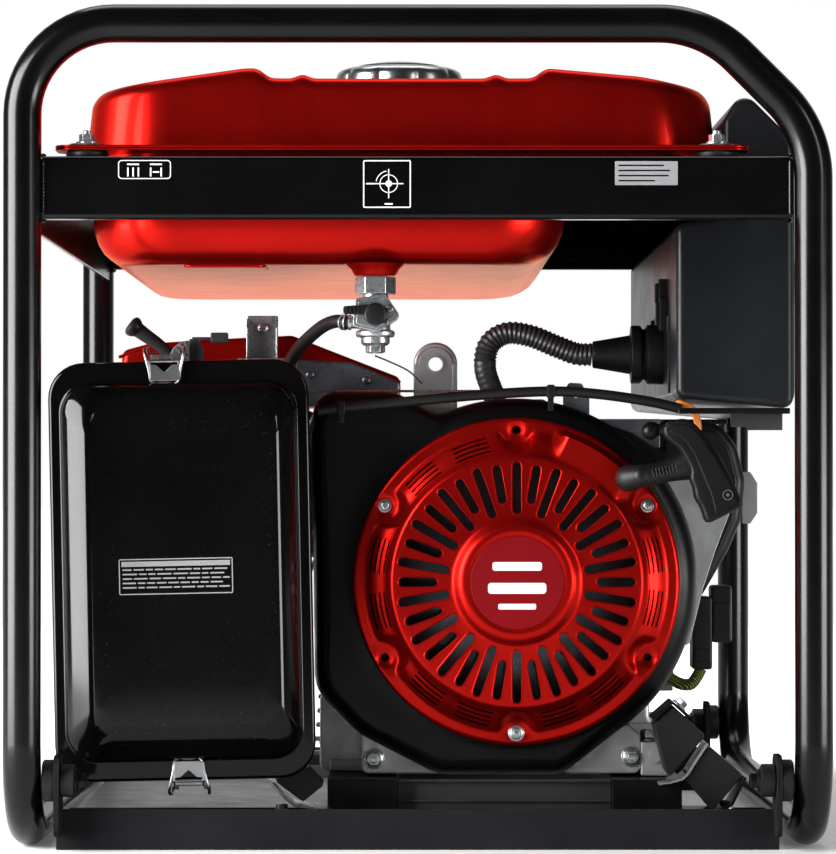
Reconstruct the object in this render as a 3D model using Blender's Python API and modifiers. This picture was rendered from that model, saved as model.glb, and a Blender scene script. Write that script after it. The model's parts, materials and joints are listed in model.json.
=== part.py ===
"""Open-frame portable generator: tube frame, pressed fuel tank, single-cylinder engine and alternator.

Units are metres. +Z is up, the recoil starter faces -Y and the control box lies on the +X side.
The origin is under the middle of the frame, on the surface that it stands on.
"""

import math

import bmesh
import bpy
from mathutils import Matrix, Vector

GAP = 0.0003  # between two pieces that touch

# Frame
TUBE_R = 0.0127
LEG_X = 0.2633
LOOP_Y = 0.3325
TOP_Z = 0.5513
CHAMFER_TOP_X = 0.1915
CHAMFER_SIDE_Z = 0.4798
LEG_INNER_X = LEG_X - TUBE_R - GAP
CROSSBAR_LOW, CROSSBAR_HIGH = 0.421, 0.463
CROSSBAR_END_X = LEG_INNER_X - 0.002  # the leg's chamfer bend starts beside it
CROSSBAR_BACK_Y = 0.303  # inner edge of a crossbar's top flange
SHEET = 0.003
MEMBER_Y = 0.3125  # outer face of a base member
MEMBER_DEPTH = 0.1125
MEMBER_TOP, MEMBER_SHELF = 0.027, 0.019
MEMBER_X = 0.242
BUSH_R, BUSH_Y, BUSH_Z = 0.011, 0.322, 0.047
RAIL_TOP = 0.041
RAILS_X = {"left": (-0.062, -0.014), "right": (0.134, 0.182)}
RAIL_Y = 0.235

# Fuel tank
TANK_Y = 0.2975
TANK_WALL = 0.002
SEAM_Z = 0.4695
FLANGE = 0.0016
TANK_BOLTS_X = {"left": -0.2217, "right": 0.2004}
TANK_BOLT_Y = 0.3125
CAP_X, CAP_Y = -0.013, -0.0825
TAP_X, TAP_Y, TAP_Z = -0.0277, -0.2725, 0.3595

# Air filter, drawn about its own centre and then leaned over
FILTER_CENTRE = Vector((-0.160, 0, 0.186))
FILTER_LEAN = math.radians(-1.2)
FILTER_PLACE = Matrix.Translation(FILTER_CENTRE) @ Matrix.Rotation(FILTER_LEAN, 4, "Y")
LATCHES = {"top": (-0.0086, 1), "bottom": (0.0023, -1)}  # middle in X, and which way is out
LATCH_PIVOT_Y, LATCH_PIVOT_Z = -0.253, 0.149

# Engine and alternator
CRANK_X, CRANK_Z = 0.068, 0.1773
CYLINDER_ANGLE = math.radians(25)
CYLINDER_Y = -0.080
BORE_R = 0.0443
THROW = 0.033
CASE_FRONT, CASE_BACK = -0.148, -0.012
JOURNAL_R = 0.0155
SHROUD_R, SHROUD_FRONT, SHROUD_BACK = 0.127, -0.2247, -0.152
COVER_R, COVER_BACK, COVER_FRONT = 0.113, -0.2253, -0.2575
SLOT_COUNT, SLOT_WIDTH, SLOT_END = 36, 0.006, 0.083
SLOT_STARTS = (0.0465, 0.0545)
BLADES = 12
LUG_X, LUG_Z = 0.013, 0.3297
STATOR_R, STATOR_END = 0.095, 0.195

# Control box
BOX_FRONT, BOX_BACK = -0.272, 0.285
BOX_LEFT, BOX_RIGHT = 0.176, 0.256
PANEL_FACE = 0.2583
SOCKETS_Y = {"front": -0.10, "rear": -0.02}
SOCKET_Z, SOCKET_R, SOCKET_FACE = 0.385, 0.028, 0.266
LID_PIVOT = (0.268, SOCKET_Z + 0.031)
BREAKER_Y, BREAKER_AXIS_X = 0.09, 0.2685
KEY_Y = -0.19
BOOT_Z, BOOT_LENGTH = 0.3365, 0.0508

FINISHES = {
    "gloss_black": ((0.012, 0.012, 0.014), 0.22, 0.0),
    "satin_black": ((0.022, 0.022, 0.024), 0.42, 0.0),
    "red_paint": ((0.62, 0.025, 0.015), 0.2, 0.0),
    "rubber": ((0.02, 0.02, 0.02), 0.8, 0.0),
    "chrome": ((0.75, 0.75, 0.77), 0.12, 1.0),
    "zinc": ((0.55, 0.56, 0.58), 0.32, 1.0),
    "aluminium": ((0.6, 0.61, 0.62), 0.42, 1.0),
    "steel": ((0.4, 0.41, 0.43), 0.38, 1.0),
    "copper": ((0.6, 0.26, 0.12), 0.4, 1.0),
    "black_plastic": ((0.02, 0.02, 0.022), 0.55, 0.0),
    "grey_plastic": ((0.2, 0.2, 0.21), 0.5, 0.0),
    "paper": ((0.75, 0.62, 0.36), 0.8, 0.0),
}
SIDE_SIGN = {"front": -1, "rear": 1, "left": -1, "right": 1}
AXES = {  # columns: where an outline's own X, Y and thickness point
    "X": Matrix(((0, 0, 1, 0), (1, 0, 0, 0), (0, 1, 0, 0), (0, 0, 0, 1))),
    "Y": Matrix(((1, 0, 0, 0), (0, 0, -1, 0), (0, 1, 0, 0), (0, 0, 0, 1))),
    "Z": Matrix.Identity(4),
}


# Scene, materials and basic shapes


def clear_scene():
    for item in list(bpy.data.objects):
        bpy.data.objects.remove(item, do_unlink=True)


def new_collection(name):
    collection = bpy.data.collections.new(name)
    bpy.context.scene.collection.children.link(collection)
    return collection


def finish(name):
    """The Principled material of this name, made when first asked for."""
    material = bpy.data.materials.get(name)
    if material:
        return material
    colour, roughness, metallic = FINISHES[name]
    material = bpy.data.materials.new(name)
    material.use_nodes = True
    shader = material.node_tree.nodes["Principled BSDF"]
    shader.inputs["Base Color"].default_value = (*colour, 1)
    shader.inputs["Roughness"].default_value = roughness
    shader.inputs["Metallic"].default_value = metallic
    material.diffuse_color = (*colour, 1)
    return material


def place_mesh(name, mesh, look, matrix=None):
    thing = bpy.data.objects.new(name, mesh)
    if look:
        mesh.materials.append(finish(look))
    PARTS.objects.link(thing)
    if matrix is not None:
        thing.matrix_world = matrix
    return thing


def from_bmesh(name, shape, look, matrix=None):
    mesh = bpy.data.meshes.new(name)
    shape.to_mesh(mesh)
    shape.free()
    return place_mesh(name, mesh, look, matrix)


def block(name, x, y, z, look=None):
    """A box from its (low, high) spans."""
    shape = bmesh.new()
    bmesh.ops.create_cube(shape, size=1)
    spans = (x, y, z)
    size = Matrix.Diagonal([high - low for low, high in spans]).to_4x4()
    centre = Matrix.Translation([(low + high) / 2 for low, high in spans])
    bmesh.ops.transform(shape, matrix=centre @ size, verts=shape.verts)
    return from_bmesh(name, shape, look)


def along(start, end):
    """The matrix that stands local +Z on the line from start to end, at its middle."""
    start, end = Vector(start), Vector(end)
    turn = (end - start).to_track_quat("Z", "Y").to_matrix().to_4x4()
    return Matrix.Translation((start + end) / 2) @ turn


def rod(name, start, end, radius, look=None, sides=16, end_radius=None):
    shape = bmesh.new()
    length = (Vector(end) - Vector(start)).length
    second = radius if end_radius is None else end_radius
    bmesh.ops.create_cone(
        shape, cap_ends=True, segments=sides, radius1=radius, radius2=second, depth=length
    )
    bmesh.ops.transform(shape, matrix=along(start, end), verts=shape.verts)
    thing = from_bmesh(name, shape, look)
    smooth(thing)
    return thing


def smooth(thing):
    thing.data.shade_smooth()
    thing.data.set_sharp_from_angle(angle=math.radians(35))


def turned(name, profile, matrix, look=None, steps=32, ring=False):
    """A profile of (radius, height) points turned about the matrix's Z axis; a ring's profile is closed."""
    mesh = bpy.data.meshes.new(name)
    points = [(radius, 0, height) for radius, height in profile]
    edges = [(i, i + 1) for i in range(len(points) - 1)]
    if ring:
        edges.append((len(points) - 1, 0))
    mesh.from_pydata(points, edges, [])
    thing = place_mesh(name, mesh, look, matrix)
    screw = thing.modifiers.new("turn", "SCREW")
    screw.steps = screw.render_steps = steps
    screw.use_merge_vertices = True
    screw.merge_threshold = 0.00005
    return thing


def curve_mesh(name, curve, look, matrix=None):
    """A curve as a closed mesh object."""
    source = bpy.data.objects.new(name + "_curve", curve)
    bpy.context.scene.collection.objects.link(source)
    graph = bpy.context.evaluated_depsgraph_get()
    graph.update()
    mesh = bpy.data.meshes.new_from_object(source.evaluated_get(graph))
    bpy.data.objects.remove(source, do_unlink=True)
    shape = bmesh.new()
    shape.from_mesh(mesh)
    bmesh.ops.remove_doubles(shape, verts=shape.verts, dist=0.00001)
    if matrix is not None:
        bmesh.ops.transform(shape, matrix=matrix, verts=shape.verts)
    bmesh.ops.recalc_face_normals(shape, faces=shape.faces)
    bpy.data.meshes.remove(mesh)
    return from_bmesh(name, shape, look)


def plate(name, loops, axis, low, high, look=None):
    """Outlines of 2D points, holes among them, as a plate from low to high along an axis."""
    curve = bpy.data.curves.new(name, "CURVE")
    curve.dimensions = "2D"
    curve.fill_mode = "BOTH"
    curve.extrude = (high - low) / 2
    for loop in loops:
        spline = curve.splines.new("POLY")
        spline.points.add(len(loop) - 1)
        for point, (x, y) in zip(spline.points, loop):
            point.co = (x, y, 0, 1)
        spline.use_cyclic_u = True
    turn = AXES[axis]
    middle = Matrix.Translation(Vector(turn.col[2][:3]) * (low + high) / 2)
    if axis == "Y":
        middle = Matrix.Translation((0, (low + high) / 2, 0))
    return curve_mesh(name, curve, look, middle @ turn)


def tube(name, points, radius, look, resolution=2):
    curve = bpy.data.curves.new(name, "CURVE")
    curve.dimensions = "3D"
    curve.bevel_depth = radius
    curve.bevel_resolution = resolution
    curve.use_fill_caps = True
    spline = curve.splines.new("POLY")
    spline.points.add(len(points) - 1)
    for point, place in zip(spline.points, points):
        point.co = (*place, 1)
    thing = curve_mesh(name, curve, look)
    smooth(thing)
    return thing


def boolean(target, operation, tools):
    for tool in tools:
        modifier = target.modifiers.new(operation.lower(), "BOOLEAN")
        modifier.operation = operation
        modifier.object = tool
        PARTS.objects.unlink(tool)
        CUTTERS.objects.link(tool)
        tool.hide_render = True
        tool.display_type = "WIRE"
    return target


def unite(target, *tools):
    return boolean(target, "UNION", tools)


def cut(target, *tools):
    return boolean(target, "DIFFERENCE", tools)


# Outlines and routes


def rounded(corners, radii, steps=4, closed=False):
    """The corners with each one turned into an arc of its radius; one radius serves all."""
    if not isinstance(radii, (list, tuple)):
        radii = [radii] * len(corners)
    size = len(corners[0])
    points = [Vector(corner).to_3d() for corner in corners]
    result = []
    for i, (corner, radius) in enumerate(zip(points, radii)):
        if not radius or (not closed and i in (0, len(points) - 1)):
            result.append(corner)
            continue
        before = (points[i - 1] - corner).normalized()
        after = (points[(i + 1) % len(points)] - corner).normalized()
        half = before.angle(after) / 2
        centre = corner + (before + after).normalized() * radius / math.sin(half)
        reach = radius / math.tan(half)
        first = (corner + before * reach - centre).normalized()
        last = (corner + after * reach - centre).normalized()
        for k in range(steps + 1):
            result.append(centre + first.slerp(last, k / steps) * radius)
    return [tuple(point)[:size] for point in result]


def rectangle(x, y, radius=0, steps=4):
    corners = [(x[0], y[0]), (x[1], y[0]), (x[1], y[1]), (x[0], y[1])]
    return rounded(corners, radius, steps, closed=True) if radius else corners


def middle_rectangle(width, height, radius=0, steps=4):
    return rectangle((-width / 2, width / 2), (-height / 2, height / 2), radius, steps)


def arc(centre, radius, start, end, steps):
    angles = [math.radians(start + (end - start) * k / steps) for k in range(steps + 1)]
    return [(centre[0] + radius * math.cos(a), centre[1] + radius * math.sin(a)) for a in angles]


def circle(centre, radius, steps=24):
    return arc(centre, radius, 0, 360 - 360 / steps, steps - 1)


def inset(outline, distance):
    """An anticlockwise outline moved inwards."""
    moved = []
    count = len(outline)
    for i, point in enumerate(outline):
        before = Vector(point) - Vector(outline[i - 1])
        after = Vector(outline[(i + 1) % count]) - Vector(point)
        normals = [Vector((-edge.y, edge.x)).normalized() for edge in (before, after)]
        middle = (normals[0] + normals[1]).normalized()
        moved.append(tuple(Vector(point) + middle * distance / middle.dot(normals[0])))
    return moved


def smooth_route(points, per_span=4):
    """A Catmull-Rom curve through the points."""
    route = [Vector(point) for point in points]
    padded = [2 * route[0] - route[1], *route, 2 * route[-1] - route[-2]]
    result = []
    for a, b, c, d in zip(padded, padded[1:], padded[2:], padded[3:]):
        for k in range(per_span):
            t = k / per_span
            result.append(
                0.5 * (2 * b + (c - a) * t + (2 * a - 5 * b + 4 * c - d) * t**2
                       + (3 * b - a - 3 * c + d) * t**3)
            )
    return result + [route[-1]]


def pivot(name, place, *pieces):
    """An empty on a joint's axis, with the pieces that turn or slide on it."""
    empty = bpy.data.objects.new(name, None)
    empty.location = place
    empty.empty_display_size = 0.02
    PARTS.objects.link(empty)
    for piece in pieces:
        piece.parent = empty
        piece.matrix_parent_inverse = Matrix.Translation(place).inverted()


def facing_front(x, z):
    """A turned part's axis through (x, z): its own +Z points to -Y, so a height is minus its Y."""
    return Matrix.Translation((x, 0, z)) @ Matrix.Rotation(math.radians(90), 4, "X")


# Frame


def frame_loop(side):
    sign = SIDE_SIGN[side]
    y = sign * LOOP_Y
    middle = sign * GAP / 2
    corners = [
        (-LEG_X, middle, TUBE_R),
        (-LEG_X, y, TUBE_R),
        (-LEG_X, y, TOP_Z),
        (CHAMFER_TOP_X, y, TOP_Z),
        (LEG_X, y, CHAMFER_SIDE_Z),
        (LEG_X, y, TUBE_R),
        (LEG_X, middle, TUBE_R),
    ]
    bends = [0, 0.06, 0.061, 0.075, 0.075, 0.06, 0]
    tube(f"{side}_loop", rounded(corners, bends, 5), TUBE_R, "gloss_black", 4)


def crossbar(side):
    """A channel between the legs, with its flanges turned inwards."""
    sign = SIDE_SIGN[side]
    face, web = LOOP_Y + SHEET / 3, LOOP_Y - SHEET * 2 / 3
    low_flange = web - 0.012
    outline = [
        (face, CROSSBAR_LOW), (face, CROSSBAR_HIGH), (CROSSBAR_BACK_Y, CROSSBAR_HIGH),
        (CROSSBAR_BACK_Y, CROSSBAR_HIGH - SHEET), (web, CROSSBAR_HIGH - SHEET),
        (web, CROSSBAR_LOW + SHEET), (low_flange, CROSSBAR_LOW + SHEET), (low_flange, CROSSBAR_LOW),
    ]
    mirrored = [(sign * y, z) for y, z in outline]
    plate(f"{side}_crossbar", [mirrored], "X", -LEG_INNER_X, CROSSBAR_END_X, "gloss_black")


def side_rail():
    """The angle between the loops on the side away from the control box."""
    reach = LOOP_Y - TUBE_R - GAP
    web = block("left_side_rail", (-0.256, -0.253), (-reach, reach), (0.412, 0.452), "gloss_black")
    flange = (-0.254, -0.232)
    unite(web, block("side_rail_flange", flange, (-0.3, 0.3), (0.449, 0.452)))


def base_member(side):
    """The pressed channel at the foot of a loop, with the upright lugs that its bushes pass through."""
    sign = SIDE_SIGN[side]
    inner = MEMBER_Y - MEMBER_DEPTH
    outline = [
        (MEMBER_Y, 0), (MEMBER_Y, MEMBER_TOP), (MEMBER_Y - SHEET, MEMBER_TOP),
        (MEMBER_Y - SHEET, MEMBER_SHELF), (inner, MEMBER_SHELF), (inner, 0),
        (inner + SHEET, 0), (inner + SHEET, MEMBER_SHELF - SHEET),
        (MEMBER_Y - SHEET, MEMBER_SHELF - SHEET), (MEMBER_Y - SHEET, SHEET),
        (MEMBER_Y - 0.02, SHEET), (MEMBER_Y - 0.02, 0),
    ]
    mirrored = [(sign * y, z) for y, z in outline]
    member = plate(f"{side}_base_member", [mirrored], "X", -MEMBER_X, MEMBER_X, "gloss_black")
    lug = rectangle(sorted((sign * 0.300, sign * 0.336)), (0.010, 0.064), 0.008)
    hole = circle((sign * BUSH_Y, BUSH_Z), BUSH_R + GAP, 12)
    for x in (-MEMBER_X, MEMBER_X - 0.0036):
        unite(member, plate(f"{side}_lug", [lug, hole], "X", x, x + 0.0036))


def isolator(side, hand):
    """The rubber bush between a leg and the base member's lug, with a collar on each side of the lug."""
    x, y = SIDE_SIGN[hand], SIDE_SIGN[side] * BUSH_Y
    name = f"isolator_{side}_{hand}"
    bush = rod(name, (x * 0.250, y, BUSH_Z), (x * 0.228, y, BUSH_Z), BUSH_R, "rubber", 12)
    ends = (x * 0.250, y, BUSH_Z), (x * 0.2425, y, BUSH_Z)
    unite(bush, rod(name + "_collar", *ends, BUSH_R + 0.003, sides=12))


def engine_rail(hand):
    """The inverted channel that carries the engine and the alternator."""
    left, right = RAILS_X[hand]
    low = MEMBER_SHELF + GAP
    outline = [
        (left, low), (left + SHEET, low), (left + SHEET, RAIL_TOP - SHEET),
        (right - SHEET, RAIL_TOP - SHEET), (right - SHEET, low), (right, low),
        (right, RAIL_TOP), (left, RAIL_TOP),
    ]
    plate(f"engine_rail_{hand}", [outline], "Y", -RAIL_Y, RAIL_Y, "satin_black")


def engine_mounts():
    """The slanted rubber mounts beside the rails."""
    left = [(-0.102, 0.0193), (-0.078, 0.0193), (-0.0623, 0.036), (-0.070, 0.050), (-0.098, 0.036)]
    right = [
        (0.203, 0.0193), (0.224, 0.045), (0.198, 0.071), (0.175, 0.092),
        (0.162, 0.078), (0.1714, 0.0425), (0.184, 0.042),
    ]
    for name, outline in (("left", left), ("right", right)):
        plate(f"engine_mount_{name}", [outline], "Y", -0.250, -0.214, "rubber")


def build_frame():
    for side in ("front", "rear"):
        frame_loop(side)
        crossbar(side)
        base_member(side)
        for hand in ("left", "right"):
            isolator(side, hand)
    side_rail()
    for hand in RAILS_X:
        engine_rail(hand)
    engine_mounts()


# Fuel tank and tap


def flange_outline():
    """The tank's seam flange, with an ear at each corner for its bolt."""
    ear, left, right = 0.288, -0.243, 0.222
    corners = [
        (left, -0.325), (right, -0.325), (right, -ear), (0.204, -ear), (0.204, ear), (right, ear),
        (right, 0.325), (left, 0.325), (left, ear), (-0.226, ear), (-0.226, -ear), (left, -ear),
    ]
    return rounded(corners, [0.012, 0.012, 0, 0, 0, 0] * 2, 3, closed=True)


def tank_shell(name, outline, mouth, flange_low):
    """One pressed half of the tank; mouth is how far its hollow runs past the seam, up or down."""
    shell = plate(name, [outline], "Y", -TANK_Y, TANK_Y, "red_paint")
    hollow = [
        (x, mouth) if abs(z - SEAM_Z) < 2 * TANK_WALL else (x, z)
        for x, z in inset(outline, TANK_WALL)
    ]
    inner = TANK_Y - TANK_WALL
    hole = rectangle((-0.2175, 0.195), (-inner, inner))
    flange = plate(name + "_flange", [flange_outline(), hole], "Z", flange_low, flange_low + FLANGE)
    unite(shell, flange)
    cut(shell, plate(name + "_hollow", [hollow], "Y", -inner, inner))
    for x in TANK_BOLTS_X.values():
        for y in (-TANK_BOLT_Y, TANK_BOLT_Y):
            cut(shell, rod(name + "_hole", (x, y, 0.46), (x, y, 0.48), 0.0036, sides=10))
    return shell


def tank_upper():
    base = SEAM_Z + GAP / 2
    outline = [
        (0.1985, base), (0.195, 0.503), (0.184, 0.515), (0.086, 0.526), (0.081, 0.5194),
        (-0.101, 0.5194), (-0.108, 0.526), (-0.118, 0.5257), (-0.2135, 0.5085), (-0.219, 0.500),
        (-0.2206, base),
    ]
    shell = tank_shell("tank_upper_shell", outline, 0.46, base)
    neck = [(CAP_X, CAP_Y, 0.518), (CAP_X, CAP_Y, 0.527)]
    unite(shell, rod("filler_neck", *neck, 0.034, sides=20))
    cut(shell, rod("filler_hole", (CAP_X, CAP_Y, 0.50), (CAP_X, CAP_Y, 0.54), 0.031, sides=20))


def tank_lower():
    top = SEAM_Z - GAP / 2
    outline = [
        (-0.2195, top), (-0.2185, 0.408), (-0.207, 0.394), (0.084, 0.394), (0.096, 0.404),
        (0.099, 0.430), (0.188, 0.430), (0.1975, 0.440), (0.1985, top),
    ]
    shell = tank_shell("tank_lower_shell", outline, 0.48, top - FLANGE)
    boss = (TAP_X, TAP_Y, 0.3855), (TAP_X, TAP_Y, 0.395)
    unite(shell, rod("tap_boss", *boss, 0.012, sides=16, end_radius=0.017))
    cut(shell, rod("tap_hole", (TAP_X, TAP_Y, 0.38), (TAP_X, TAP_Y, 0.41), 0.004, sides=10))


def tank_bolts():
    """Rubber grommet, shank, washer and hexagon head, on each corner's ear."""
    profile = [
        (0, 0.478), (0.0055, 0.478), (0.0055, 0.473), (0.009, 0.473), (0.009, 0.4716),
        (0.003, 0.4716), (0.003, 0.4673), (0.014, 0.4673), (0.014, CROSSBAR_HIGH + GAP),
        (0, CROSSBAR_HIGH + GAP),
    ]
    for hand, x in TANK_BOLTS_X.items():
        for side in ("front", "rear"):
            place = Matrix.Translation((x, SIDE_SIGN[side] * TANK_BOLT_Y, 0))
            turned(f"tank_bolt_{side}_{hand}", profile, place, "rubber", 12)


def filler_cap():
    profile = [
        (0, 0.551), (0.040, 0.551), (0.0455, 0.547), (0.047, 0.540), (0.046, 0.5285),
        (0.029, 0.5285), (0.029, 0.520), (0, 0.520),
    ]
    cap = turned("filler_cap", profile, Matrix.Translation((CAP_X, CAP_Y, 0)), "chrome", 28)
    return cap


def fuel_gauge():
    profile = [(0, 0.527), (0.022, 0.528), (0.026, 0.524), (0.026, 0.5197), (0, 0.5197)]
    turned("fuel_gauge", profile, Matrix.Translation((0.03, 0.12, 0)), "black_plastic", 20)


def fuel_tap():
    nut_top = 0.3855 - GAP
    body = rod("fuel_tap_body", (TAP_X, TAP_Y, 0.370), (TAP_X, TAP_Y, nut_top), 0.0140, "aluminium", 6)
    face = rounded(
        [(TAP_X - 0.0155, 0.3515), (TAP_X + 0.002, 0.3475), (TAP_X + 0.017, 0.358), (TAP_X + 0.006, 0.3735),
         (TAP_X - 0.0135, 0.370)],
        0.003, 2, closed=True,
    )
    plug = (TAP_X - 0.018, TAP_Y, 0.3545)
    unite(
        body,
        plate("tap_face", [face], "Y", TAP_Y - 0.0137, TAP_Y + 0.009),
        rod("tap_spout", (TAP_X - 0.008, TAP_Y, 0.3545), plug, 0.0045, sides=10),
        rod("tap_bowl_flange", (TAP_X, TAP_Y, 0.3445), (TAP_X, TAP_Y, 0.3495), 0.0132),
        rod("tap_bowl", (TAP_X, TAP_Y, 0.3385), (TAP_X, TAP_Y, 0.347), 0.0098),
        rod("tap_drain", (TAP_X, TAP_Y, 0.334), (TAP_X, TAP_Y, 0.343), 0.0065, sides=6),
    )
    front = TAP_Y - 0.0140
    hub = ((TAP_X, front - 0.008, TAP_Z), (TAP_X, front, TAP_Z))
    lever = rod("fuel_tap_lever", *hub, 0.0075, "black_plastic", 14)
    arm = (TAP_X - 0.0215, TAP_X), (front - 0.007, front - 0.002), (TAP_Z + 0.0005, TAP_Z + 0.0045)
    unite(lever, block("tap_arm", *arm))
    pivot("fuel_tap_axis", (TAP_X, TAP_Y, TAP_Z), lever)


def fuel_hose():
    route = [
        (-0.0467, -0.2725, 0.3545), (-0.0497, -0.2724, 0.3547), (-0.0560, -0.2650, 0.3555),
        (-0.0645, -0.249, 0.3530), (-0.0745, -0.231, 0.3460), (-0.084, -0.208, 0.3372),
        (-0.0915, -0.190, 0.3260), (-0.0995, -0.180, 0.3080), (-0.1025, -0.178, 0.2905),
    ]
    tube("fuel_hose", smooth_route(route), 0.0045, "rubber")


def build_tank():
    tank_upper()
    tank_lower()
    tank_bolts()
    pivot("filler_cap_axis", (CAP_X, CAP_Y, 0.54), filler_cap())
    fuel_gauge()
    fuel_tap()
    fuel_hose()


# Air filter and carburettor


def filter_box(name, width, height, radius, low, high, look=None, steps=4):
    outline = middle_rectangle(width, height, radius, steps)
    piece = plate(name, [outline], "Y", low, high, look)
    piece.matrix_world = FILTER_PLACE
    return piece


def filter_case():
    case = filter_box("air_filter_case", 0.170, 0.278, 0.022, -0.2742, -0.202, "gloss_black")
    for name, (x, out) in LATCHES.items():
        z = sorted((out * 0.137, out * 0.1470))
        ear = block(name + "_ear", (x - 0.010, x + 0.010), (-0.262, -0.250), z)
        ear.matrix_world = FILTER_PLACE
        unite(case, ear)
    intake = rod("intake_hole", (-0.118, -0.21, 0.262), (-0.118, -0.19, 0.262), 0.014)
    cut(case, filter_box("case_hollow", 0.165, 0.273, 0.0195, -0.28, -0.2045), intake)


def filter_cover():
    cover = filter_box("air_filter_cover", 0.1765, 0.284, 0.024, -0.2805, -0.2745, "gloss_black", 6)
    panel = filter_box("cover_panel", 0.158, 0.254, 0.020, -0.3025, -0.279)
    unite(cover, panel)
    cut(cover, filter_box("cover_hollow", 0.154, 0.250, 0.018, -0.3005, -0.270))


def latch(name):
    """A sprung clip: a strap over the rim, hinged on the case."""
    x, out = LATCHES[name]
    span = (x - 0.012, x + 0.012)
    strap = block(f"{name}_latch", span, (-0.2845, -0.2822), sorted((out * 0.128, out * 0.150)), "chrome")
    arm = block(f"{name}_latch_arm", span, (-0.2845, -0.252), sorted((out * 0.148, out * 0.150)))
    strap.matrix_world = arm.matrix_world = FILTER_PLACE
    unite(strap, arm)
    pivot(f"{name}_latch_axis", FILTER_PLACE @ Vector((x, LATCH_PIVOT_Y, out * LATCH_PIVOT_Z)), strap)


def carburettor():
    body = block("carburettor", (-0.143, -0.093), (-0.194, -0.1405), (0.236, 0.288), "aluminium")
    unite(
        body,
        rod("carb_throat", (-0.118, -0.2017, 0.262), (-0.118, -0.19, 0.262), 0.021),
        rod("carb_bowl", (-0.118, -0.172, 0.212), (-0.118, -0.172, 0.238), 0.019),
        block("choke_post", (-0.158, -0.140), (-0.162, -0.156), (0.276, 0.2875)),
    )


def choke_lever():
    y = -0.168
    base = (-0.150, y, 0.294)
    elbow, tip = (-0.172, y, 0.334), (-0.201, y, 0.3555)
    lever = rod("choke_lever", base, elbow, 0.004, "black_plastic", 10)
    unite(
        lever,
        rod("choke_hub", (base[0], y - 0.006, base[2]), (base[0], y + 0.004, base[2]), 0.0058, sides=12),
        rod("choke_horn", (-0.168, y, 0.329), tip, 0.0055, sides=12),
        rod("choke_tip", (-0.1975, y, 0.353), (-0.2035, y, 0.3573), 0.009, sides=12),
    )
    pivot("choke_axis", base, lever)


def build_filter():
    filter_case()
    filter_cover()
    filter_box("air_filter_element", 0.150, 0.250, 0.015, -0.262, -0.216, "paper")
    for name in LATCHES:
        latch(name)
    carburettor()
    choke_lever()


# Engine


def cylinder_place():
    """Local +X runs up the cylinder from the crankshaft's axis, and local +Z across it."""
    run, rise = math.cos(CYLINDER_ANGLE), math.sin(CYLINDER_ANGLE)
    turn = Matrix(((-run, 0, rise), (0, -1, 0), (rise, 0, run))).to_4x4()
    return Matrix.Translation((CRANK_X, CYLINDER_Y, CRANK_Z)) @ turn


def up_cylinder(piece):
    piece.matrix_world = cylinder_place()
    return piece


def crank_rod(name, start, end, radius, look=None, sides=20, offset=(0, 0)):
    x, z = CRANK_X + offset[0], CRANK_Z + offset[1]
    return rod(name, (x, start, z), (x, end, z), radius, look, sides)


def crankcase():
    outline = [
        (-0.060, RAIL_TOP + GAP), (0.180, RAIL_TOP + GAP), (0.180, 0.066), (0.165, 0.078),
        (0.165, 0.235), (0.130, 0.283), (0.020, 0.286), (0.0011, 0.2693), (-0.0455, 0.1695),
        (-0.060, 0.120), (-0.070, 0.060),
    ]
    case = plate("crankcase", [outline], "Y", CASE_FRONT, CASE_BACK, "aluminium")
    cut(
        case,
        crank_rod("crank_chamber", CASE_FRONT + 0.012, CASE_BACK - 0.012, 0.070, sides=24),
        block("sump", (-0.050, 0.150), (CASE_FRONT + 0.010, CASE_BACK - 0.010), (0.054, 0.130)),
        crank_rod("crank_bearings", CASE_FRONT - 0.01, CASE_BACK + 0.01, JOURNAL_R + GAP),
        up_cylinder(rod("case_mouth", (0.03, 0, 0), (0.12, 0, 0), 0.046, sides=24)),
    )


def cylinder_head():
    """Cylinder, cooling fins, head and rocker cover, bored for the piston."""
    barrel = (0.100, 0.213), (-0.055, 0.055), (-0.050, 0.050)
    head = up_cylinder(block("cylinder_head", *barrel, "aluminium"))
    for k in range(6):
        x = 0.114 + 0.016 * k
        unite(head, up_cylinder(block("fin", (x, x + 0.003), (-0.060, 0.060), (-0.060, 0.060))))
    unite(head, up_cylinder(block("rocker_cover", (0.212, 0.262), (-0.045, 0.045), (-0.038, 0.038))))
    cut(head, up_cylinder(rod("bore", (0.09, 0, 0), (0.190, 0, 0), BORE_R, sides=24)))


def piston():
    piece = up_cylinder(rod("piston", (0.128, 0, 0), (0.180, 0, 0), BORE_R - 0.0012, "aluminium", 24))
    cut(piece, up_cylinder(rod("piston_hollow", (0.12, 0, 0), (0.168, 0, 0), BORE_R - 0.006, sides=20)))
    pivot("piston_axis", cylinder_place() @ Vector((0.150, 0, 0)), piece)


def crankshaft():
    run, rise = math.cos(CYLINDER_ANGLE), math.sin(CYLINDER_ANGLE)
    offset = (-run * THROW, rise * THROW)
    shaft = crank_rod("crankshaft", -0.222, -0.094, JOURNAL_R, "steel")
    unite(
        shaft,
        crank_rod("web_front", -0.106, -0.090, 0.048, sides=24),
        crank_rod("crank_pin", -0.096, -0.064, 0.014, offset=offset),
        crank_rod("web_rear", -0.070, -0.054, 0.048, sides=24),
        crank_rod("journal_rear", -0.066, -0.0055, JOURNAL_R),
    )
    return shaft


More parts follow.
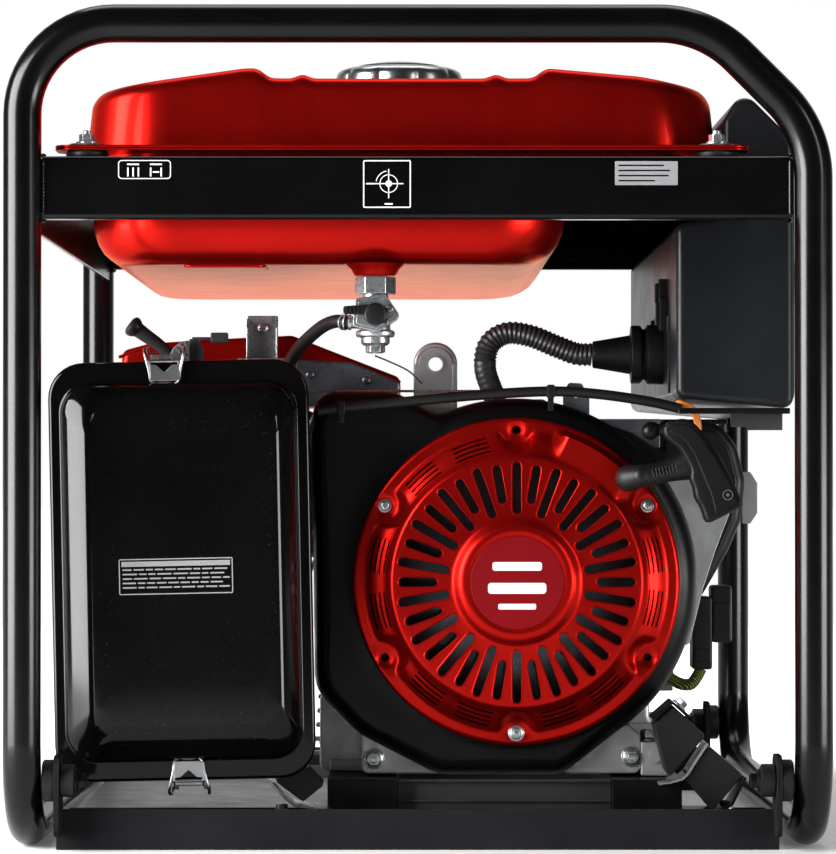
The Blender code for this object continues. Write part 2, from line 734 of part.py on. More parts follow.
def flywheel():
    """Flywheel on the crankshaft's nose, with the cooling fan's blades on its front face."""
    hole = JOURNAL_R + GAP
    profile = [
        (hole, 0.2155), (0.030, 0.2155), (0.036, 0.206), (0.090, 0.200), (0.095, 0.197),
        (0.095, 0.172), (0.036, 0.176), (0.030, 0.166), (hole, 0.166),
    ]
    wheel = turned("flywheel_fan", profile, facing_front(CRANK_X, CRANK_Z), "steel", 36, ring=True)
    for k in range(BLADES):
        blade = block("blade", (0.050, 0.0945), (-0.0015, 0.0015), (0.198, 0.2165))
        spin = Matrix.Rotation(2 * math.pi * k / BLADES, 4, "Z")
        blade.matrix_world = facing_front(CRANK_X, CRANK_Z) @ spin
        unite(wheel, blade)
    return wheel


def fan_shroud():
    centre = (CRANK_X, CRANK_Z)
    outline = [
        (0.0134, 0.0425), (0.101, 0.0425),
        *arc(centre, SHROUD_R, -58, 84, 18),
        (-0.004, 0.309), (-0.062, 0.309), (-0.075, 0.296), (-0.072, 0.104), (-0.038, 0.069),
    ]
    shroud = plate("fan_shroud", [outline], "Y", SHROUD_FRONT, SHROUD_BACK, "satin_black")
    hollow = plate("shroud_hollow", [inset(outline, 0.0025)], "Y", SHROUD_FRONT + 0.003, SHROUD_BACK + 0.01)
    mouth = crank_rod("shroud_mouth", SHROUD_FRONT - 0.01, SHROUD_FRONT + 0.02, 0.104, sides=36)
    cut(shroud, hollow, mouth)


def slot_cutters():
    """Radial slots, long and short in turn, as one set of boxes about the crankshaft's axis."""
    shape = bmesh.new()
    for k in range(SLOT_COUNT):
        start = SLOT_STARTS[k % 2]
        length = SLOT_END - start
        angle = math.radians(90) + 2 * math.pi * k / SLOT_COUNT
        place = Matrix.Rotation(angle, 4, "Z") @ Matrix.Translation((start + length / 2, 0, 0.252))
        size = Matrix.Diagonal((length, SLOT_WIDTH, 0.024, 1))
        bmesh.ops.create_cube(shape, size=1, matrix=place @ size)
    return from_bmesh("slots", shape, None, facing_front(CRANK_X, CRANK_Z))


def recoil_cover():
    front, back = -COVER_FRONT, -COVER_BACK
    outer = [
        (0, front), (0.039, front), (0.046, 0.2545), (0.084, 0.2480), (0.088, 0.2440),
        (0.104, 0.2380), (COVER_R, 0.2300), (COVER_R, back),
    ]
    inner = [
        (0.1105, back), (0.1105, 0.2290), (0.1025, 0.2355), (0.0865, 0.2415), (0.0825, 0.2455),
        (0.0455, 0.2520), (0.038, 0.2550), (0, 0.2550),
    ]
    cover = turned("recoil_cover", outer + inner, facing_front(CRANK_X, CRANK_Z), "red_paint", 36)
    cut(cover, slot_cutters())


def recoil_reel():
    profile = [
        (0, 0.2395), (0.042, 0.2395), (0.042, 0.2375), (0.035, 0.2365), (0.035, 0.2285),
        (0.042, 0.2275), (0.042, 0.2255), (0, 0.2255),
    ]
    reel = turned("recoil_reel", profile, facing_front(CRANK_X, CRANK_Z), "black_plastic", 24)
    notch = block("reel_notch", (0.024, 0.030), (-0.003, 0.003), (0.220, 0.245))
    notch.matrix_world = facing_front(CRANK_X, CRANK_Z)
    return cut(reel, notch)


def starter_handle():
    """The T-shaped grip and the stem that its rope is knotted in."""
    grip = rounded(
        [(0.1975, 0.2165), (0.2100, 0.2225), (0.2205, 0.2300), (0.2215, 0.2345), (0.1810, 0.2865),
         (0.1730, 0.2845), (0.1860, 0.2500)],
        0.003, 2, closed=True,
    )
    handle = plate("starter_handle", [grip], "Y", -0.283, -0.259, "black_plastic")
    stem = (0.190, -0.266, 0.2635), (0.146, -0.266, 0.2490)
    unite(handle, rod("handle_stem", *stem, 0.0065, sides=12, end_radius=0.009))
    return handle


def engine_cowl():
    """The red sheet cover over the cylinder, open below."""
    outline = [
        (-0.012, 0.300), (-0.012, 0.320), (-0.061, 0.339), (-0.089, 0.350), (-0.131, 0.348),
        (-0.190, 0.3445), (-0.210, 0.339), (-0.210, 0.300),
    ]
    hollow = inset(outline, 0.0018)
    hollow[0] = (hollow[0][0], 0.29)
    hollow[-1] = (hollow[-1][0], 0.29)
    cowl = plate("engine_cowl", [outline], "Y", -0.150, CASE_BACK, "red_paint")
    cut(cowl, plate("cowl_hollow", [hollow], "Y", -0.1482, CASE_BACK - 0.0018))


def muffler():
    """A hollow silencer, its pipe and its outlet both opening into it."""
    wall = 0.0016
    outline = rectangle((-0.235, -0.092), (0.165, 0.300), 0.03)
    shell = plate("muffler", [outline], "Y", 0.022, 0.245, "steel")
    unite(
        shell,
        rod("exhaust_pipe", (-0.113, -0.0193, 0.262), (-0.113, 0.030, 0.262), 0.016),
        rod("outlet", (-0.165, 0.240, 0.215), (-0.165, 0.268, 0.215), 0.014),
    )
    cut(
        shell,
        plate("muffler_hollow", [inset(outline, wall)], "Y", 0.022 + wall, 0.245 - wall),
        rod("pipe_hole", (-0.113, -0.03, 0.262), (-0.113, 0.040, 0.262), 0.0145),
        rod("outlet_hole", (-0.165, 0.20, 0.215), (-0.165, 0.28, 0.215), 0.0115),
    )


def spark_plug_cap():
    cap = rod("spark_plug_cap", (0.2625, 0.015, -0.012), (0.300, 0.015, -0.012), 0.010, "black_plastic", 14)
    up_cylinder(cap)


def oil_plug():
    x, y, z = 0.165 + GAP, -0.060, 0.105
    plug = rod("oil_filler_plug", (x, y, z), (x + 0.012, y, z), 0.014, "grey_plastic", 16)
    unite(plug, rod("oil_plug_grip", (x + 0.010, y, z), (x + 0.022, y, z), 0.010, sides=8))
    pivot("oil_plug_axis", (x, y, z), plug)


def lifting_lug():
    arch = arc((LUG_X, LUG_Z), 0.0122, 0, 180, 8)
    outline = [(LUG_X - 0.0122, 0.2865), (LUG_X + 0.0122, 0.2865), *arch]
    lug = plate("lifting_lug", [outline, circle((LUG_X, LUG_Z), 0.005, 14)], "Y", -0.146, -0.140, "zinc")
    unite(lug, block("lug_foot", (-0.001, 0.027), (-0.146, -0.122), (0.2865, 0.2895)))


def switch_box():
    """The moulded box on the crankcase's side, with its relay and connector below."""
    outline = rounded(
        [(0.1653, 0.165), (0.209, 0.165), (0.229, 0.186), (0.2345, 0.259), (0.215, 0.290),
         (0.1653, 0.290)],
        [0, 0.008, 0.01, 0.01, 0.01, 0], 3, closed=True,
    )
    box = plate("switch_box", [outline], "Y", -0.147, -0.090, "black_plastic")
    unite(
        box,
        block("relay", (0.2065, 0.2255), (-0.140, -0.112), (0.131, 0.170)),
        block("connector", (0.1653, 0.2095), (-0.142, -0.110), (0.111, 0.1515)),
    )


def build_engine():
    crankcase()
    cylinder_head()
    piston()
    shaft, wheel = crankshaft(), flywheel()
    fan_shroud()
    recoil_cover()
    reel, handle = recoil_reel(), starter_handle()
    pivot("reel_axis", (CRANK_X, -0.2325, CRANK_Z), reel)
    pivot("handle_axis", (0.190, -0.266, 0.2635), handle)
    engine_cowl()
    muffler()
    spark_plug_cap()
    oil_plug()
    lifting_lug()
    switch_box()
    return shaft, wheel


# Alternator


def build_alternator(turning):
    """Stator, rotor and end bell on the crankshaft's axis; turning pieces spin with the rotor."""
    axis = facing_front(CRANK_X, CRANK_Z)
    front, end = CASE_BACK + 0.0005, STATOR_END
    shell_bore, core_bore = STATOR_R - 0.007, 0.060
    core_front, core_end = 0.045, 0.150
    stator = [
        (shell_bore, -front), (STATOR_R, -front), (STATOR_R, -end), (shell_bore, -end),
        (shell_bore, -core_end), (core_bore, -core_end), (core_bore, -core_front),
        (shell_bore, -core_front),
    ]
    turned("alternator_stator", stator, axis, "steel", 36, ring=True)
    rotor = [
        (0, 0.005), (0.012, 0.005), (0.012, -core_front), (0.057, -core_front),
        (0.057, -core_end), (0.012, -core_end), (0.012, -0.262), (0, -0.262),
    ]
    core = turned("alternator_rotor", rotor, axis, "copper", 32)
    bearing = 0.012 + GAP
    bell = [
        (bearing, -0.240), (0.086, -0.205), (0.086, -end - GAP), (0.097, -end - GAP),
        (0.097, -0.250), (0.085, -0.268), (0.030, -0.272), (bearing, -0.272),
    ]
    end_bell = turned("alternator_end_bell", bell, axis, "aluminium", 32, ring=True)
    foot = block("bell_foot", (-0.010, 0.146), (0.208, 0.232), (RAIL_TOP + GAP, 0.098))
    unite(end_bell, foot)
    cut(end_bell, crank_rod("bell_room", 0.190, 0.2045, 0.086, sides=32))
    pivot("crank_axis", (CRANK_X, 0, CRANK_Z), *turning, core)


# Control box and wiring


def control_box():
    """A folded box that fills the chamfered side, with a bracket to each crossbar."""
    outline = [
        (BOX_LEFT, 0.303), (BOX_RIGHT, 0.296), (BOX_RIGHT, 0.479), (0.221, 0.514), (0.208, 0.492),
        (0.208, 0.428), (BOX_LEFT, 0.422),
    ]
    box = plate("control_box", [outline], "Y", BOX_FRONT, BOX_BACK, "satin_black")
    hollow = plate("box_hollow", [inset(outline, 0.0018)], "Y", BOX_FRONT + 0.0018, BOX_BACK - 0.0018)
    window = block("box_window", (0.24, 0.27), (-0.24, 0.255), (0.312, 0.462))
    reach = CROSSBAR_BACK_Y - GAP
    for span in ((-reach, BOX_FRONT + 0.001), (BOX_BACK - 0.001, reach)):
        unite(box, block("box_bracket", (0.215, 0.245), span, (0.43, 0.455)))
    cut(box, hollow, window)


def control_panel():
    sheet = (BOX_RIGHT + GAP, PANEL_FACE), (-0.252, 0.268), (0.303, 0.473)
    panel = block("control_panel", *sheet, "satin_black")
    for y in SOCKETS_Y.values():
        unite(panel, rod("socket", (0.257, y, SOCKET_Z), (SOCKET_FACE, y, SOCKET_Z), SOCKET_R, sides=24))
    breaker = block("breaker_body", (0.257, 0.264), (BREAKER_Y - 0.012, BREAKER_Y + 0.012), (0.362, 0.408))
    unite(panel, breaker, rod("key_boss", (0.257, KEY_Y, SOCKET_Z), (0.264, KEY_Y, SOCKET_Z), 0.017))
    for y in SOCKETS_Y.values():
        cut(panel, rod("socket_well", (0.2595, y, SOCKET_Z), (0.27, y, SOCKET_Z), 0.022, sides=20))


def socket_lid(side):
    y = SOCKETS_Y[side]
    back, face = 0.2664, 0.2694
    ends = (back, y, SOCKET_Z), (face, y, SOCKET_Z)
    lid = rod(f"socket_lid_{side}", *ends, 0.0275, "black_plastic", 24)
    heights = SOCKET_Z + 0.02, LID_PIVOT[1] + 0.0018
    hinge = block("lid_hinge", (back, face), (y - 0.012, y + 0.012), heights)
    unite(lid, hinge)
    pivot(f"socket_lid_{side}_axis", (LID_PIVOT[0], y, LID_PIVOT[1]), lid)


def switches():
    axis = (BREAKER_AXIS_X, BREAKER_Y, SOCKET_Z)
    ends = (BREAKER_AXIS_X, BREAKER_Y - 0.008, SOCKET_Z), (BREAKER_AXIS_X, BREAKER_Y + 0.008, SOCKET_Z)
    lever = rod("breaker_lever", *ends, 0.0041, "black_plastic", 12)
    span = BREAKER_Y - 0.007, BREAKER_Y + 0.007
    unite(lever, block("breaker_thumb", (0.269, 0.2755), span, (0.3835, 0.3865)))
    pivot("breaker_axis", axis, lever)
    ends = (0.2643, KEY_Y, SOCKET_Z), (0.268, KEY_Y, SOCKET_Z)
    key = rod("engine_switch", *ends, 0.012, "black_plastic", 20)
    span = KEY_Y - 0.0025, KEY_Y + 0.0025
    unite(key, block("switch_grip", (0.2675, 0.2755), span, (0.374, 0.396)))
    pivot("engine_switch_axis", (0.2643, KEY_Y, SOCKET_Z), key)


def harness():
    """The cable that runs over the fan shroud from the air filter's side to the control box."""
    y = -0.2295
    heights = [
        (-0.069, 0.2950), (-0.050, 0.2975), (-0.012, 0.3010), (0.043, 0.3060), (0.092, 0.3085),
        (0.126, 0.3065), (0.160, 0.3015), (0.182, 0.2965),
    ]
    tube("harness_cable", smooth_route([(x, y, z) for x, z in heights]), 0.0035, "rubber")


def conduit():
    """The corrugated conduit from the engine to its boot on the control box."""
    y = -0.142
    bends = [
        (0.059, 0.2875), (0.055, 0.306), (0.0485, 0.326), (0.051, 0.343), (0.063, 0.3515),
        (0.080, 0.3500), (0.099, 0.3425), (0.113, 0.3373), (0.1245, BOOT_Z),
    ]
    tube("conduit", smooth_route([(x, y, z) for x, z in bends]), 0.008, "rubber", 3)
    boot_place = Matrix.Translation((BOX_LEFT - GAP - BOOT_LENGTH, y, BOOT_Z))
    turned(
        "conduit_boot",
        [(0, BOOT_LENGTH), (0.021, BOOT_LENGTH), (0.021, 0.0405), (0.0185, 0.0385), (0.0195, 0.036),
         (0.0205, 0.0275), (0.014, 0.0265), (0.0095, 0), (0, 0)],
        boot_place @ Matrix.Rotation(math.radians(90), 4, "Y"), "rubber", 20,
    )


def build_electrics():
    control_box()
    control_panel()
    for side in SOCKETS_Y:
        socket_lid(side)
    switches()
    harness()
    conduit()


clear_scene()
PARTS = new_collection("portable_generator")
CUTTERS = new_collection("cutters")
build_frame()
build_tank()
build_filter()
build_alternator(build_engine())
build_electrics()
bpy.context.view_layer.update()
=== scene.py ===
"""Looks of the open-frame portable generator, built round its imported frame.

Units are metres in the frame's own axes: +Z up, the recoil starter faces -Y, the control box is on +X.
"""

import json
import math
import random

import bmesh
import bpy
from mathutils import Matrix, Vector


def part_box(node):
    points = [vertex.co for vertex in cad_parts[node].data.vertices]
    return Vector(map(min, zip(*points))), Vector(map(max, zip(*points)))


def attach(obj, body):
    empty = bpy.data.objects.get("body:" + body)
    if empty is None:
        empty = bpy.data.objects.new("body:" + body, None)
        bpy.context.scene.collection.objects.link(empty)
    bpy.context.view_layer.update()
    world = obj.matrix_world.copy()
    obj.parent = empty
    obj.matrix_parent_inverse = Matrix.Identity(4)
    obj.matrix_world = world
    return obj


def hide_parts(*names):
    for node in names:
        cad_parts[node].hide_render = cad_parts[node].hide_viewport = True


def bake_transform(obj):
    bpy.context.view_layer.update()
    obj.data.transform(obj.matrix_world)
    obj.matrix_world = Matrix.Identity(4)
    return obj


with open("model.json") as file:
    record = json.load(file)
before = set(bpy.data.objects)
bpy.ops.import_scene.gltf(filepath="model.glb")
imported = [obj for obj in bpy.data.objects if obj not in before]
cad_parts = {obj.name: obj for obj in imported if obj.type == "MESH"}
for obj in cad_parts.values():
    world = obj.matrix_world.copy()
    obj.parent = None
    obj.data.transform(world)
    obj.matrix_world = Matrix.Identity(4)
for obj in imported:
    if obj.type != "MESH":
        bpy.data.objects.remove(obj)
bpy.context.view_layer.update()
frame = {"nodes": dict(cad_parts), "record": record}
random.seed(7)


def middle(node):
    """The middle of a CAD node's box at rest."""
    low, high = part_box(node)
    return (low + high) / 2


# Places read from the frame

LOOP_LOW, LOOP_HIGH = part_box("front_loop")
TUBE_R = 0.0127
LEG_X = LOOP_HIGH.x - TUBE_R
LOOP_Y = -LOOP_LOW.y - TUBE_R
TOP_Z = LOOP_HIGH.z - TUBE_R
CHAMFER_TOP_X, CHAMFER_SIDE_Z = 0.1915, 0.4798
BAR_LOW, BAR_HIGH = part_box("front_crossbar")
SHEET = 0.003
CRANK_X, CRANK_Z = middle("recoil_cover").x, middle("recoil_cover").z
COVER_R = (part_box("recoil_cover")[1].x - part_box("recoil_cover")[0].x) / 2
SEAM_Z = 0.4695
PANEL_ROW_Z = 0.385
CAP = middle("filler_cap")
TAP = middle("fuel_tap_body")
FILTER_PLACE = Matrix.Translation((-0.160, 0, 0.186)) @ Matrix.Rotation(math.radians(-1.2), 4, "Y")
LATCHES = {"top": (-0.0086, 1), "bottom": (0.0023, -1)}
SIDES = {"front": -1, "rear": 1}
HANDS = {"left": -1, "right": 1}
SHARP = math.radians(40)
UP_Y = Vector((0, 1, 0))


# Materials


def ramp(tree, source, low, high, first, second):
    """A colour ramp on a socket: first below low, second above high."""
    node = tree.nodes.new("ShaderNodeValToRGB")
    node.color_ramp.elements[0].position = low
    node.color_ramp.elements[1].position = high
    node.color_ramp.elements[0].color = (*first, 1)
    node.color_ramp.elements[1].color = (*second, 1)
    tree.links.new(source, node.inputs["Fac"])
    return node.outputs["Color"]


def noise(tree, scale, detail=3.0, stretch=None):
    """A noise texture in the object's own metres; scale is in turns a metre."""
    place = tree.nodes.new("ShaderNodeTexCoord").outputs["Object"]
    if stretch:
        mapping = tree.nodes.new("ShaderNodeMapping")
        mapping.inputs["Scale"].default_value = stretch
        tree.links.new(place, mapping.inputs["Vector"])
        place = mapping.outputs["Vector"]
    node = tree.nodes.new("ShaderNodeTexNoise")
    node.inputs["Scale"].default_value = scale
    node.inputs["Detail"].default_value = detail
    tree.links.new(place, node.inputs["Vector"])
    return node.outputs["Fac"]


def blend_colour(tree, mask, first, second):
    """Mixes two colours or colour sockets by a mask."""
    node = tree.nodes.new("ShaderNodeMix")
    node.data_type = "RGBA"
    tree.links.new(mask, node.inputs["Factor"])
    for socket, value in ((node.inputs["A"], first), (node.inputs["B"], second)):
        if isinstance(value, tuple):
            socket.default_value = (*value, 1)
        else:
            tree.links.new(value, socket)
    return node.outputs["Result"]


def multiply(tree, first, second):
    node = tree.nodes.new("ShaderNodeMath")
    node.operation = "MULTIPLY"
    tree.links.new(first, node.inputs[0])
    tree.links.new(second, node.inputs[1])
    return node.outputs["Value"]


def edge_nearness(tree):
    """How nearly a rounded normal agrees with the surface's own: 1 on a flat, less at an edge."""
    rounding = tree.nodes.new("ShaderNodeBevel")
    rounding.samples = 3
    rounding.inputs["Radius"].default_value = 0.0011
    surface = tree.nodes.new("ShaderNodeNewGeometry")
    agreement = tree.nodes.new("ShaderNodeVectorMath")
    agreement.operation = "DOT_PRODUCT"
    tree.links.new(rounding.outputs["Normal"], agreement.inputs[0])
    tree.links.new(surface.outputs["Normal"], agreement.inputs[1])
    return agreement.outputs["Value"]


def look(name, colour, roughness, metallic=0.0, tint=None, mottle=14.0, spread=0.05, grain=700.0,
         bump=0.1, depth=0.0002, wear=None, dust=None, coat=0.0, stretch=None, specular=0.5, edge_tint=None):
    """A Principled material with mottled colour, uneven roughness, surface grain, worn edges and dust."""
    material = bpy.data.materials.new(name)
    material.use_nodes = True
    tree = material.node_tree
    shader = tree.nodes["Principled BSDF"]
    shader.inputs["Metallic"].default_value = metallic
    shader.inputs["Specular IOR Level"].default_value = specular
    if edge_tint:
        shader.inputs["Specular Tint"].default_value = (*edge_tint, 1)
    if coat:
        shader.inputs["Coat Weight"].default_value = coat
        shader.inputs["Coat Roughness"].default_value = 0.04
    base = ramp(tree, noise(tree, mottle, 4.0, stretch), 0.35, 0.68, colour, tint or tuple(c * 0.8 for c in colour))
    if dust:
        specks = ramp(tree, noise(tree, 1500.0, 1.0), 0.735, 0.76, (0, 0, 0), (1, 1, 1))
        base = blend_colour(tree, specks, base, dust)
    if wear:
        rubbed = multiply(
            tree,
            ramp(tree, edge_nearness(tree), 0.70, 0.90, (1, 1, 1), (0, 0, 0)),
            ramp(tree, noise(tree, 60.0, 5.0), 0.5, 0.64, (0, 0, 0), (1, 1, 1)),
        )
        base = blend_colour(tree, rubbed, base, wear)
    tree.links.new(base, shader.inputs["Base Color"])
    uneven = tree.nodes.new("ShaderNodeMapRange")
    uneven.inputs["From Min"].default_value = 0.3
    uneven.inputs["From Max"].default_value = 0.7
    uneven.inputs["To Min"].default_value = max(roughness - spread, 0.02)
    uneven.inputs["To Max"].default_value = roughness + spread
    tree.links.new(noise(tree, mottle * 3, 5.0, stretch), uneven.inputs["Value"])
    tree.links.new(uneven.outputs["Result"], shader.inputs["Roughness"])
    if bump:
        relief = tree.nodes.new("ShaderNodeBump")
        relief.inputs["Strength"].default_value = bump
        relief.inputs["Distance"].default_value = depth
        tree.links.new(noise(tree, grain, 2.0, stretch), relief.inputs["Height"])
        tree.links.new(relief.outputs["Normal"], shader.inputs["Normal"])
    return material


def wave_look(name, colours, scale, roughness, direction="X", bump=0.5, metallic=0.0):
    """A banded material, such as pleats or windings: the two colours alternate along an axis."""
    material = bpy.data.materials.new(name)
    material.use_nodes = True
    tree = material.node_tree
    shader = tree.nodes["Principled BSDF"]
    shader.inputs["Metallic"].default_value = metallic
    shader.inputs["Roughness"].default_value = roughness
    place = tree.nodes.new("ShaderNodeTexCoord").outputs["Object"]
    bands = tree.nodes.new("ShaderNodeTexWave")
    bands.bands_direction = direction
    bands.inputs["Scale"].default_value = scale
    bands.inputs["Distortion"].default_value = 0.4
    tree.links.new(place, bands.inputs["Vector"])
    tree.links.new(ramp(tree, bands.outputs["Fac"], 0.2, 0.8, *colours), shader.inputs["Base Color"])
    relief = tree.nodes.new("ShaderNodeBump")
    relief.inputs["Strength"].default_value = bump
    relief.inputs["Distance"].default_value = 0.001
    tree.links.new(bands.outputs["Fac"], relief.inputs["Height"])
    tree.links.new(relief.outputs["Normal"], shader.inputs["Normal"])
    return material


LOOKS = {
    "gloss_black": look("gloss_black", (0.0015, 0.0015, 0.002), 0.22, tint=(0.003, 0.003, 0.0035), grain=260.0,
                        bump=0.02, spread=0.02, wear=(0.06, 0.06, 0.07), dust=(0.03, 0.03, 0.03), specular=0.4),
    "filter_black": look("filter_black", (0.002, 0.002, 0.002), 0.09, spread=0.02,
                         tint=(0.004, 0.004, 0.004), grain=120.0,
                         bump=0.04, dust=(0.10, 0.10, 0.10), wear=(0.1, 0.1, 0.1), specular=0.3),
    "satin_black": look("satin_black", (0.004, 0.0043, 0.005), 0.36, tint=(0.006, 0.0063, 0.007), grain=1400.0,
                        bump=0.03, wear=(0.08, 0.08, 0.08), specular=0.25),
    "conduit_black": look("conduit_black", (0.055, 0.058, 0.062), 0.34, tint=(0.070, 0.073, 0.078), grain=900.0,
                          bump=0.1, specular=0.7),
    "grey_paint": look("grey_paint", (0.035, 0.036, 0.038), 0.34, tint=(0.045, 0.046, 0.048), grain=300.0,
                       bump=0.08, wear=(0.12, 0.12, 0.12)),
    # Flat black without sheen: for printed lines, and as painted shade on sheets and shapes that stand where only
    # shadow is seen.
    "print_and_painted_shade": look("print_and_painted_shade", (0.004, 0.004, 0.004), 0.7, grain=900.0, specular=0.0),
    "base_black": look("base_black", (0.017, 0.0175, 0.019), 0.62, tint=(0.023, 0.0235, 0.025), grain=600.0, bump=0.1,
                       wear=(0.08, 0.08, 0.08), dust=(0.06, 0.06, 0.06), specular=0.0),
    "box_black": look("box_black", (0.011, 0.012, 0.014), 0.36, tint=(0.014, 0.0155, 0.018), grain=1400.0, bump=0.02,
                      wear=(0.08, 0.08, 0.08), dust=(0.10, 0.10, 0.10), specular=0.3),
    "red_paint": look("red_paint", (0.46, 0.009, 0.007), 0.32, 0.82, tint=(0.41, 0.007, 0.007), grain=220.0, bump=0.012,
                      spread=0.02, wear=(0.40, 0.006, 0.008), coat=0.05, specular=0.5, edge_tint=(1.0, 0.45, 0.12)),
    "red_badge": look("red_badge", (0.20, 0.002, 0.006), 0.45, tint=(0.17, 0.002, 0.005), bump=0.02, coat=0.0,
                      specular=0.2),
    "rubber": look("rubber", (0.008, 0.008, 0.008), 0.5, tint=(0.013, 0.013, 0.013), grain=1100.0, bump=0.25,
                   specular=0.4),
    "chrome": look("chrome", (0.44, 0.45, 0.46), 0.30, 1.0, tint=(0.36, 0.37, 0.38), grain=90.0, bump=0.04,
                   wear=(0.85, 0.85, 0.85)),
    "zinc": look("zinc", (0.47, 0.49, 0.50), 0.30, 0.85, tint=(0.40, 0.42, 0.43), mottle=90.0, spread=0.08,
                 grain=600.0, bump=0.08, wear=(0.8, 0.8, 0.8)),
    "aluminium": look("aluminium", (0.50, 0.51, 0.51), 0.45, 0.65, tint=(0.38, 0.39, 0.39), mottle=45.0,
                      spread=0.1, grain=520.0, bump=0.35, depth=0.0004, wear=(0.72, 0.72, 0.72)),
    "steel": look("steel", (0.24, 0.26, 0.29), 0.36, 0.8, tint=(0.16, 0.175, 0.20), mottle=30.0, spread=0.12,
                  grain=500.0, bump=0.12, wear=(0.6, 0.6, 0.62)),
    "copper": wave_look("copper", ((0.35, 0.10, 0.03), (0.72, 0.30, 0.12)), 190.0, 0.35, "Y", 0.6, 1.0),
    "black_plastic": look("black_plastic", (0.008, 0.008, 0.009), 0.40, tint=(0.012, 0.012, 0.013), grain=1700.0,
                          bump=0.28, wear=(0.05, 0.05, 0.05), specular=0.35),
    "grey_plastic": look("grey_plastic", (0.10, 0.105, 0.11), 0.48, tint=(0.13, 0.135, 0.14), grain=1500.0,
                         bump=0.2),
    "filter_paper": wave_look("filter_paper", ((0.42, 0.28, 0.10), (0.82, 0.66, 0.38)), 60.0, 0.8, "X", 1.0),
    "print_white": look("print_white", (0.72, 0.72, 0.72), 0.45, tint=(0.62, 0.62, 0.62), bump=0.03),
    "print_grey": look("print_grey", (0.30, 0.30, 0.31), 0.45, tint=(0.24, 0.24, 0.25), bump=0.03),
    "wire_orange": look("wire_orange", (0.78, 0.30, 0.07), 0.42, tint=(0.7, 0.24, 0.05), grain=900.0),
    "braid": wave_look("braid", ((0.30, 0.33, 0.03), (0.03, 0.03, 0.03)), 260.0, 0.6, "DIAGONAL", 0.8),
    "rope": wave_look("rope", ((0.02, 0.02, 0.02), (0.10, 0.10, 0.10)), 300.0, 0.8, "DIAGONAL", 0.9),
    "glass": look("glass", (0.02, 0.02, 0.02), 0.05, tint=(0.025, 0.025, 0.025), bump=0.01, coat=1.0),
}


# Outlines and routes


def rounded(corners, radii, steps=6, closed=False):
    """The corners with each one turned into an arc of its radius; one radius serves all."""
    if not isinstance(radii, (list, tuple)):
        radii = [radii] * len(corners)
    size = len(corners[0])
    points = [Vector(corner).to_3d() for corner in corners]
    result = []
    for i, (corner, radius) in enumerate(zip(points, radii)):
        if not radius or (not closed and i in (0, len(points) - 1)):
            result.append(corner)
            continue
        before = (points[i - 1] - corner).normalized()
        after = (points[(i + 1) % len(points)] - corner).normalized()
        half = before.angle(after) / 2
        centre = corner + (before + after).normalized() * radius / math.sin(half)
        reach = radius / math.tan(half)
        first = (corner + before * reach - centre).normalized()
        last = (corner + after * reach - centre).normalized()
        for k in range(steps + 1):
            result.append(centre + first.slerp(last, k / steps) * radius)
    return [tuple(point)[:size] for point in result]


def rectangle(x, y, radius=0.0, steps=6):
    """An anticlockwise rectangle over two spans, its corners rounded by radius."""
    corners = [(x[0], y[0]), (x[1], y[0]), (x[1], y[1]), (x[0], y[1])]
    return rounded(corners, radius, steps, closed=True) if radius else corners


def middle_rectangle(width, height, radius=0.0, steps=6):
    return rectangle((-width / 2, width / 2), (-height / 2, height / 2), radius, steps)


def arc(centre, radius, start, end, steps):
    """Points on an arc, with its angles in degrees."""
    angles = [math.radians(start + (end - start) * k / steps) for k in range(steps + 1)]
    return [(centre[0] + radius * math.cos(a), centre[1] + radius * math.sin(a)) for a in angles]


def circle(centre, radius, steps=48):
    return arc(centre, radius, 0, 360 - 360 / steps, steps - 1)


def inset(outline, distance):
    """An anticlockwise outline moved inwards."""
    moved = []
    count = len(outline)
    for i, point in enumerate(outline):
        before = Vector(point) - Vector(outline[i - 1])
        after = Vector(outline[(i + 1) % count]) - Vector(point)
        normals = [Vector((-edge.y, edge.x)).normalized() for edge in (before, after)]
        halfway = (normals[0] + normals[1]).normalized()
        moved.append(tuple(Vector(point) + halfway * distance / max(halfway.dot(normals[0]), 0.4)))
    return moved


def smooth_route(points, per_span=8):
    """A Catmull-Rom curve through the points."""
    route = [Vector(point) for point in points]
    padded = [2 * route[0] - route[1], *route, 2 * route[-1] - route[-2]]
    result = []
    for a, b, c, d in zip(padded, padded[1:], padded[2:], padded[3:]):
        for k in range(per_span):
            t = k / per_span
            result.append(
                0.5 * (2 * b + (c - a) * t + (2 * a - 5 * b + 4 * c - d) * t**2
                       + (3 * b - a - 3 * c + d) * t**3)
            )
    return result + [route[-1]]


def evenly(path, step):
    """The path as points a fixed step apart."""
    points = [Vector(path[0])]
    need = step
    for a, b in zip(path, path[1:]):
        a, b = Vector(a), Vector(b)
        length = (b - a).length
        while length and need <= length:
            points.append(a.lerp(b, need / length))
            need += step
        need -= length
    return points


def lifted(axis, a, b, height):
    """An outline's point at a height along an axis."""
    return {"X": (height, a, b), "Y": (a, height, b), "Z": (a, b, height)}[axis]


def facing_front(x, z):
    """The axis of a turned part through (x, z): its own +Z points to -Y, so a height is minus its Y."""
    return Matrix.Translation((x, 0, z)) @ Matrix.Rotation(math.radians(90), 4, "X")


def spin_z(degrees):
    """A turn about Z."""
    return Matrix.Rotation(math.radians(degrees), 4, "Z")


def standing(place, direction):
    """The matrix that puts local +Z along a direction at a place."""
    turn = Vector(direction).to_track_quat("Z", "Y").to_matrix().to_4x4()
    return Matrix.Translation(place) @ turn


# Solids


